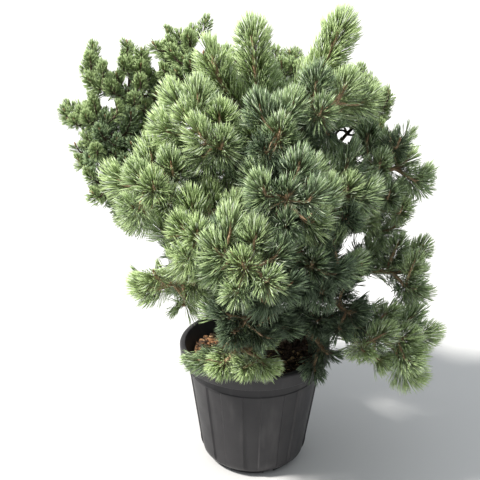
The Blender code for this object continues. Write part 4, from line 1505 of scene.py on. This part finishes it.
def make_soil(material):
    edge = NECK_RADIUS - WALL - 0.0012
    rings = 44
    sides = 150
    rows = []
    for ring in range(1, rings + 1):
        radius = edge * ring / rings
        for side in range(sides):
            turn = side * math.tau / sides
            x = radius * math.cos(turn)
            y = radius * math.sin(turn)
            crumbs = 0.0016 * noise.noise(Vector((x, y, 1.0)) * 210.0) + 0.0010 * noise.noise(Vector((x, y, 2.0)) * 520.0)
            rows.append((x, y, soil_height(x, y) - 0.0008 + crumbs))
    low = (BODY_LOW_RADIUS - WALL - 0.002, CORNER_HEIGHT + FLOOR)
    neck_low = POT_HEIGHT - RIM_DEPTH - NECK_DEPTH
    for radius, height in ((NECK_RADIUS - WALL - FLUTE_DEPTH - 0.001, neck_low), low, (FOOT_RADIUS - WALL - 0.001, FLOOR + GAP)):
        for side in range(sides):
            turn = side * math.tau / sides
            rows.append((radius * math.cos(turn), radius * math.sin(turn), height))
    points = np.array(rows + [(0.0, 0.0, soil_height(0.0, 0.0)), (0.0, 0.0, FLOOR + GAP)])
    count = rings + 3
    ring = np.arange(sides)
    after = (ring + 1) % sides
    top = np.full(sides, len(rows))
    last = (count - 1) * sides
    triangles = np.concatenate([
        grid_triangles(count, sides)[:, ::-1],
        np.stack([top, ring, after], -1),
        np.stack([top + 1, last + after, last + ring], -1),
    ])
    soil = triangle_mesh("soil_mulch", points, triangles, [material], smooth=True)
    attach(soil, "root")
    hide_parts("soil")


def make_chips(materials):
    """Bits of bark and dry needles that lie on the soil."""
    dice = random.Random(77)
    heap = Heap()
    corners = np.array([(x, y, z) for x in (-1, 1) for y in (-1, 1) for z in (-1, 1)], float)
    faces = np.array([(0, 1, 3), (0, 3, 2), (4, 6, 7), (4, 7, 5), (0, 4, 5), (0, 5, 1),
                      (2, 3, 7), (2, 7, 6), (0, 2, 6), (0, 6, 4), (1, 5, 7), (1, 7, 3)])
    rng = np.random.default_rng(78)
    for _ in range(2600):
        radius = 0.096 * math.sqrt(dice.random())
        turn = dice.uniform(0.0, math.tau)
        x = radius * math.cos(turn)
        y = radius * math.sin(turn)
        if (Vector((x, y)) - FOOT.xy).length < 0.021:
            continue
        thin = dice.random() < 0.42
        long = dice.uniform(0.006, 0.015) if thin else dice.uniform(0.002, 0.0055)
        wide = 0.0004 if thin else long * dice.uniform(0.35, 0.8)
        high = 0.0004 if thin else long * dice.uniform(0.15, 0.4)
        size = np.array((long, wide, high))
        shape = corners * size * rng.uniform(0.6, 1.1, corners.shape)
        tilt = Matrix.Rotation(dice.uniform(0, math.tau), 3, "Z") @ Matrix.Rotation(dice.uniform(-0.3, 0.3), 3, "Y")
        place = np.array((x, y, soil_height(x, y) + 0.0012 + high * 0.6))
        points = shape @ np.array(tilt).T + place
        flat = np.hypot(points[:, 0], points[:, 1])
        if flat.max() > NECK_RADIUS - WALL - 0.002:
            continue
        on_heap = (Vector((x, y)) - HEAP_AT).length < HEAP_RADIUS
        # bits off the heap are mostly dark brown: partly the mulch's own dark colour, partly painted shade of the crown
        # over the soil
        heap.add(points, faces, dice.choice((0, 0, 1, 1, 2) if on_heap else (1, 1, 1, 1, 1, 2)))
    made = heap.make("mulch_bits", materials)
    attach(made, "root")


# The whole

def make_plant(looks, shoot_bark, bark, bud):
    growth = Growth()
    shown = []
    heap = Heap()
    nodes = []
    number = 1
    total = 0
    for mass in MASSES:
        shoots = growth.shoots[mass.name]
        grown = [grown_needles(shoot) for shoot in shoots]
        fresh = Heap()
        for shoot, (points, tints, _), stays in zip(shoots, grown, staying(shoots, [row[2] for row in grown])):
            if stays:
                shown.append(shoot)
                add_needles(fresh, points, tints)
        for course in clothed_limb(mass):
            points, tints, _ = grown_needles(course)
            add_needles(fresh, points, tints)
        if heap.size() + fresh.size() > PIECE_TRIANGLES:
            total += heap.size()
            finish_needles(heap, number, nodes, looks)
            heap, nodes, number = Heap(), [], number + 1
        for points, triangles, tints in zip(fresh.points, fresh.triangles, fresh.looks):
            heap.add(points, triangles - triangles.min(), tints)
        nodes.append(f"mass_{mass.name}")
    total += heap.size()
    finish_needles(heap, number, nodes, looks)
    make_twigs(shown, shoot_bark, bark)
    make_buds(shown, bud)
    print("SHOOTS", len(growth.taken), len(shown), "needle triangles", total,
          {name: len(rows) for name, rows in growth.shoots.items()})


def finish_needles(heap, number, nodes, looks):
    made = heap.make(f"needles_{number}", looks)
    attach(made, "root")
    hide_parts(*nodes)


def main():
    bpy.context.scene.view_settings.view_transform = "Standard"
    make_camera()
    make_light()
    make_floor(floor_look())
    make_pot(plastic_look())
    make_soil(soil_look())
    make_chips([
        chip_look("chip_orange", (0.14, 0.07, 0.035), (0.36, 0.19, 0.09)),
        chip_look("chip_brown", (0.020, 0.014, 0.010), (0.085, 0.050, 0.030)),
        chip_look("chip_straw", (0.22, 0.14, 0.07), (0.50, 0.36, 0.20)),
    ])
    bark = bark_look()
    make_wood(bark)
    make_plant(needle_looks(), shoot_look(), bark, bud_look())


main()
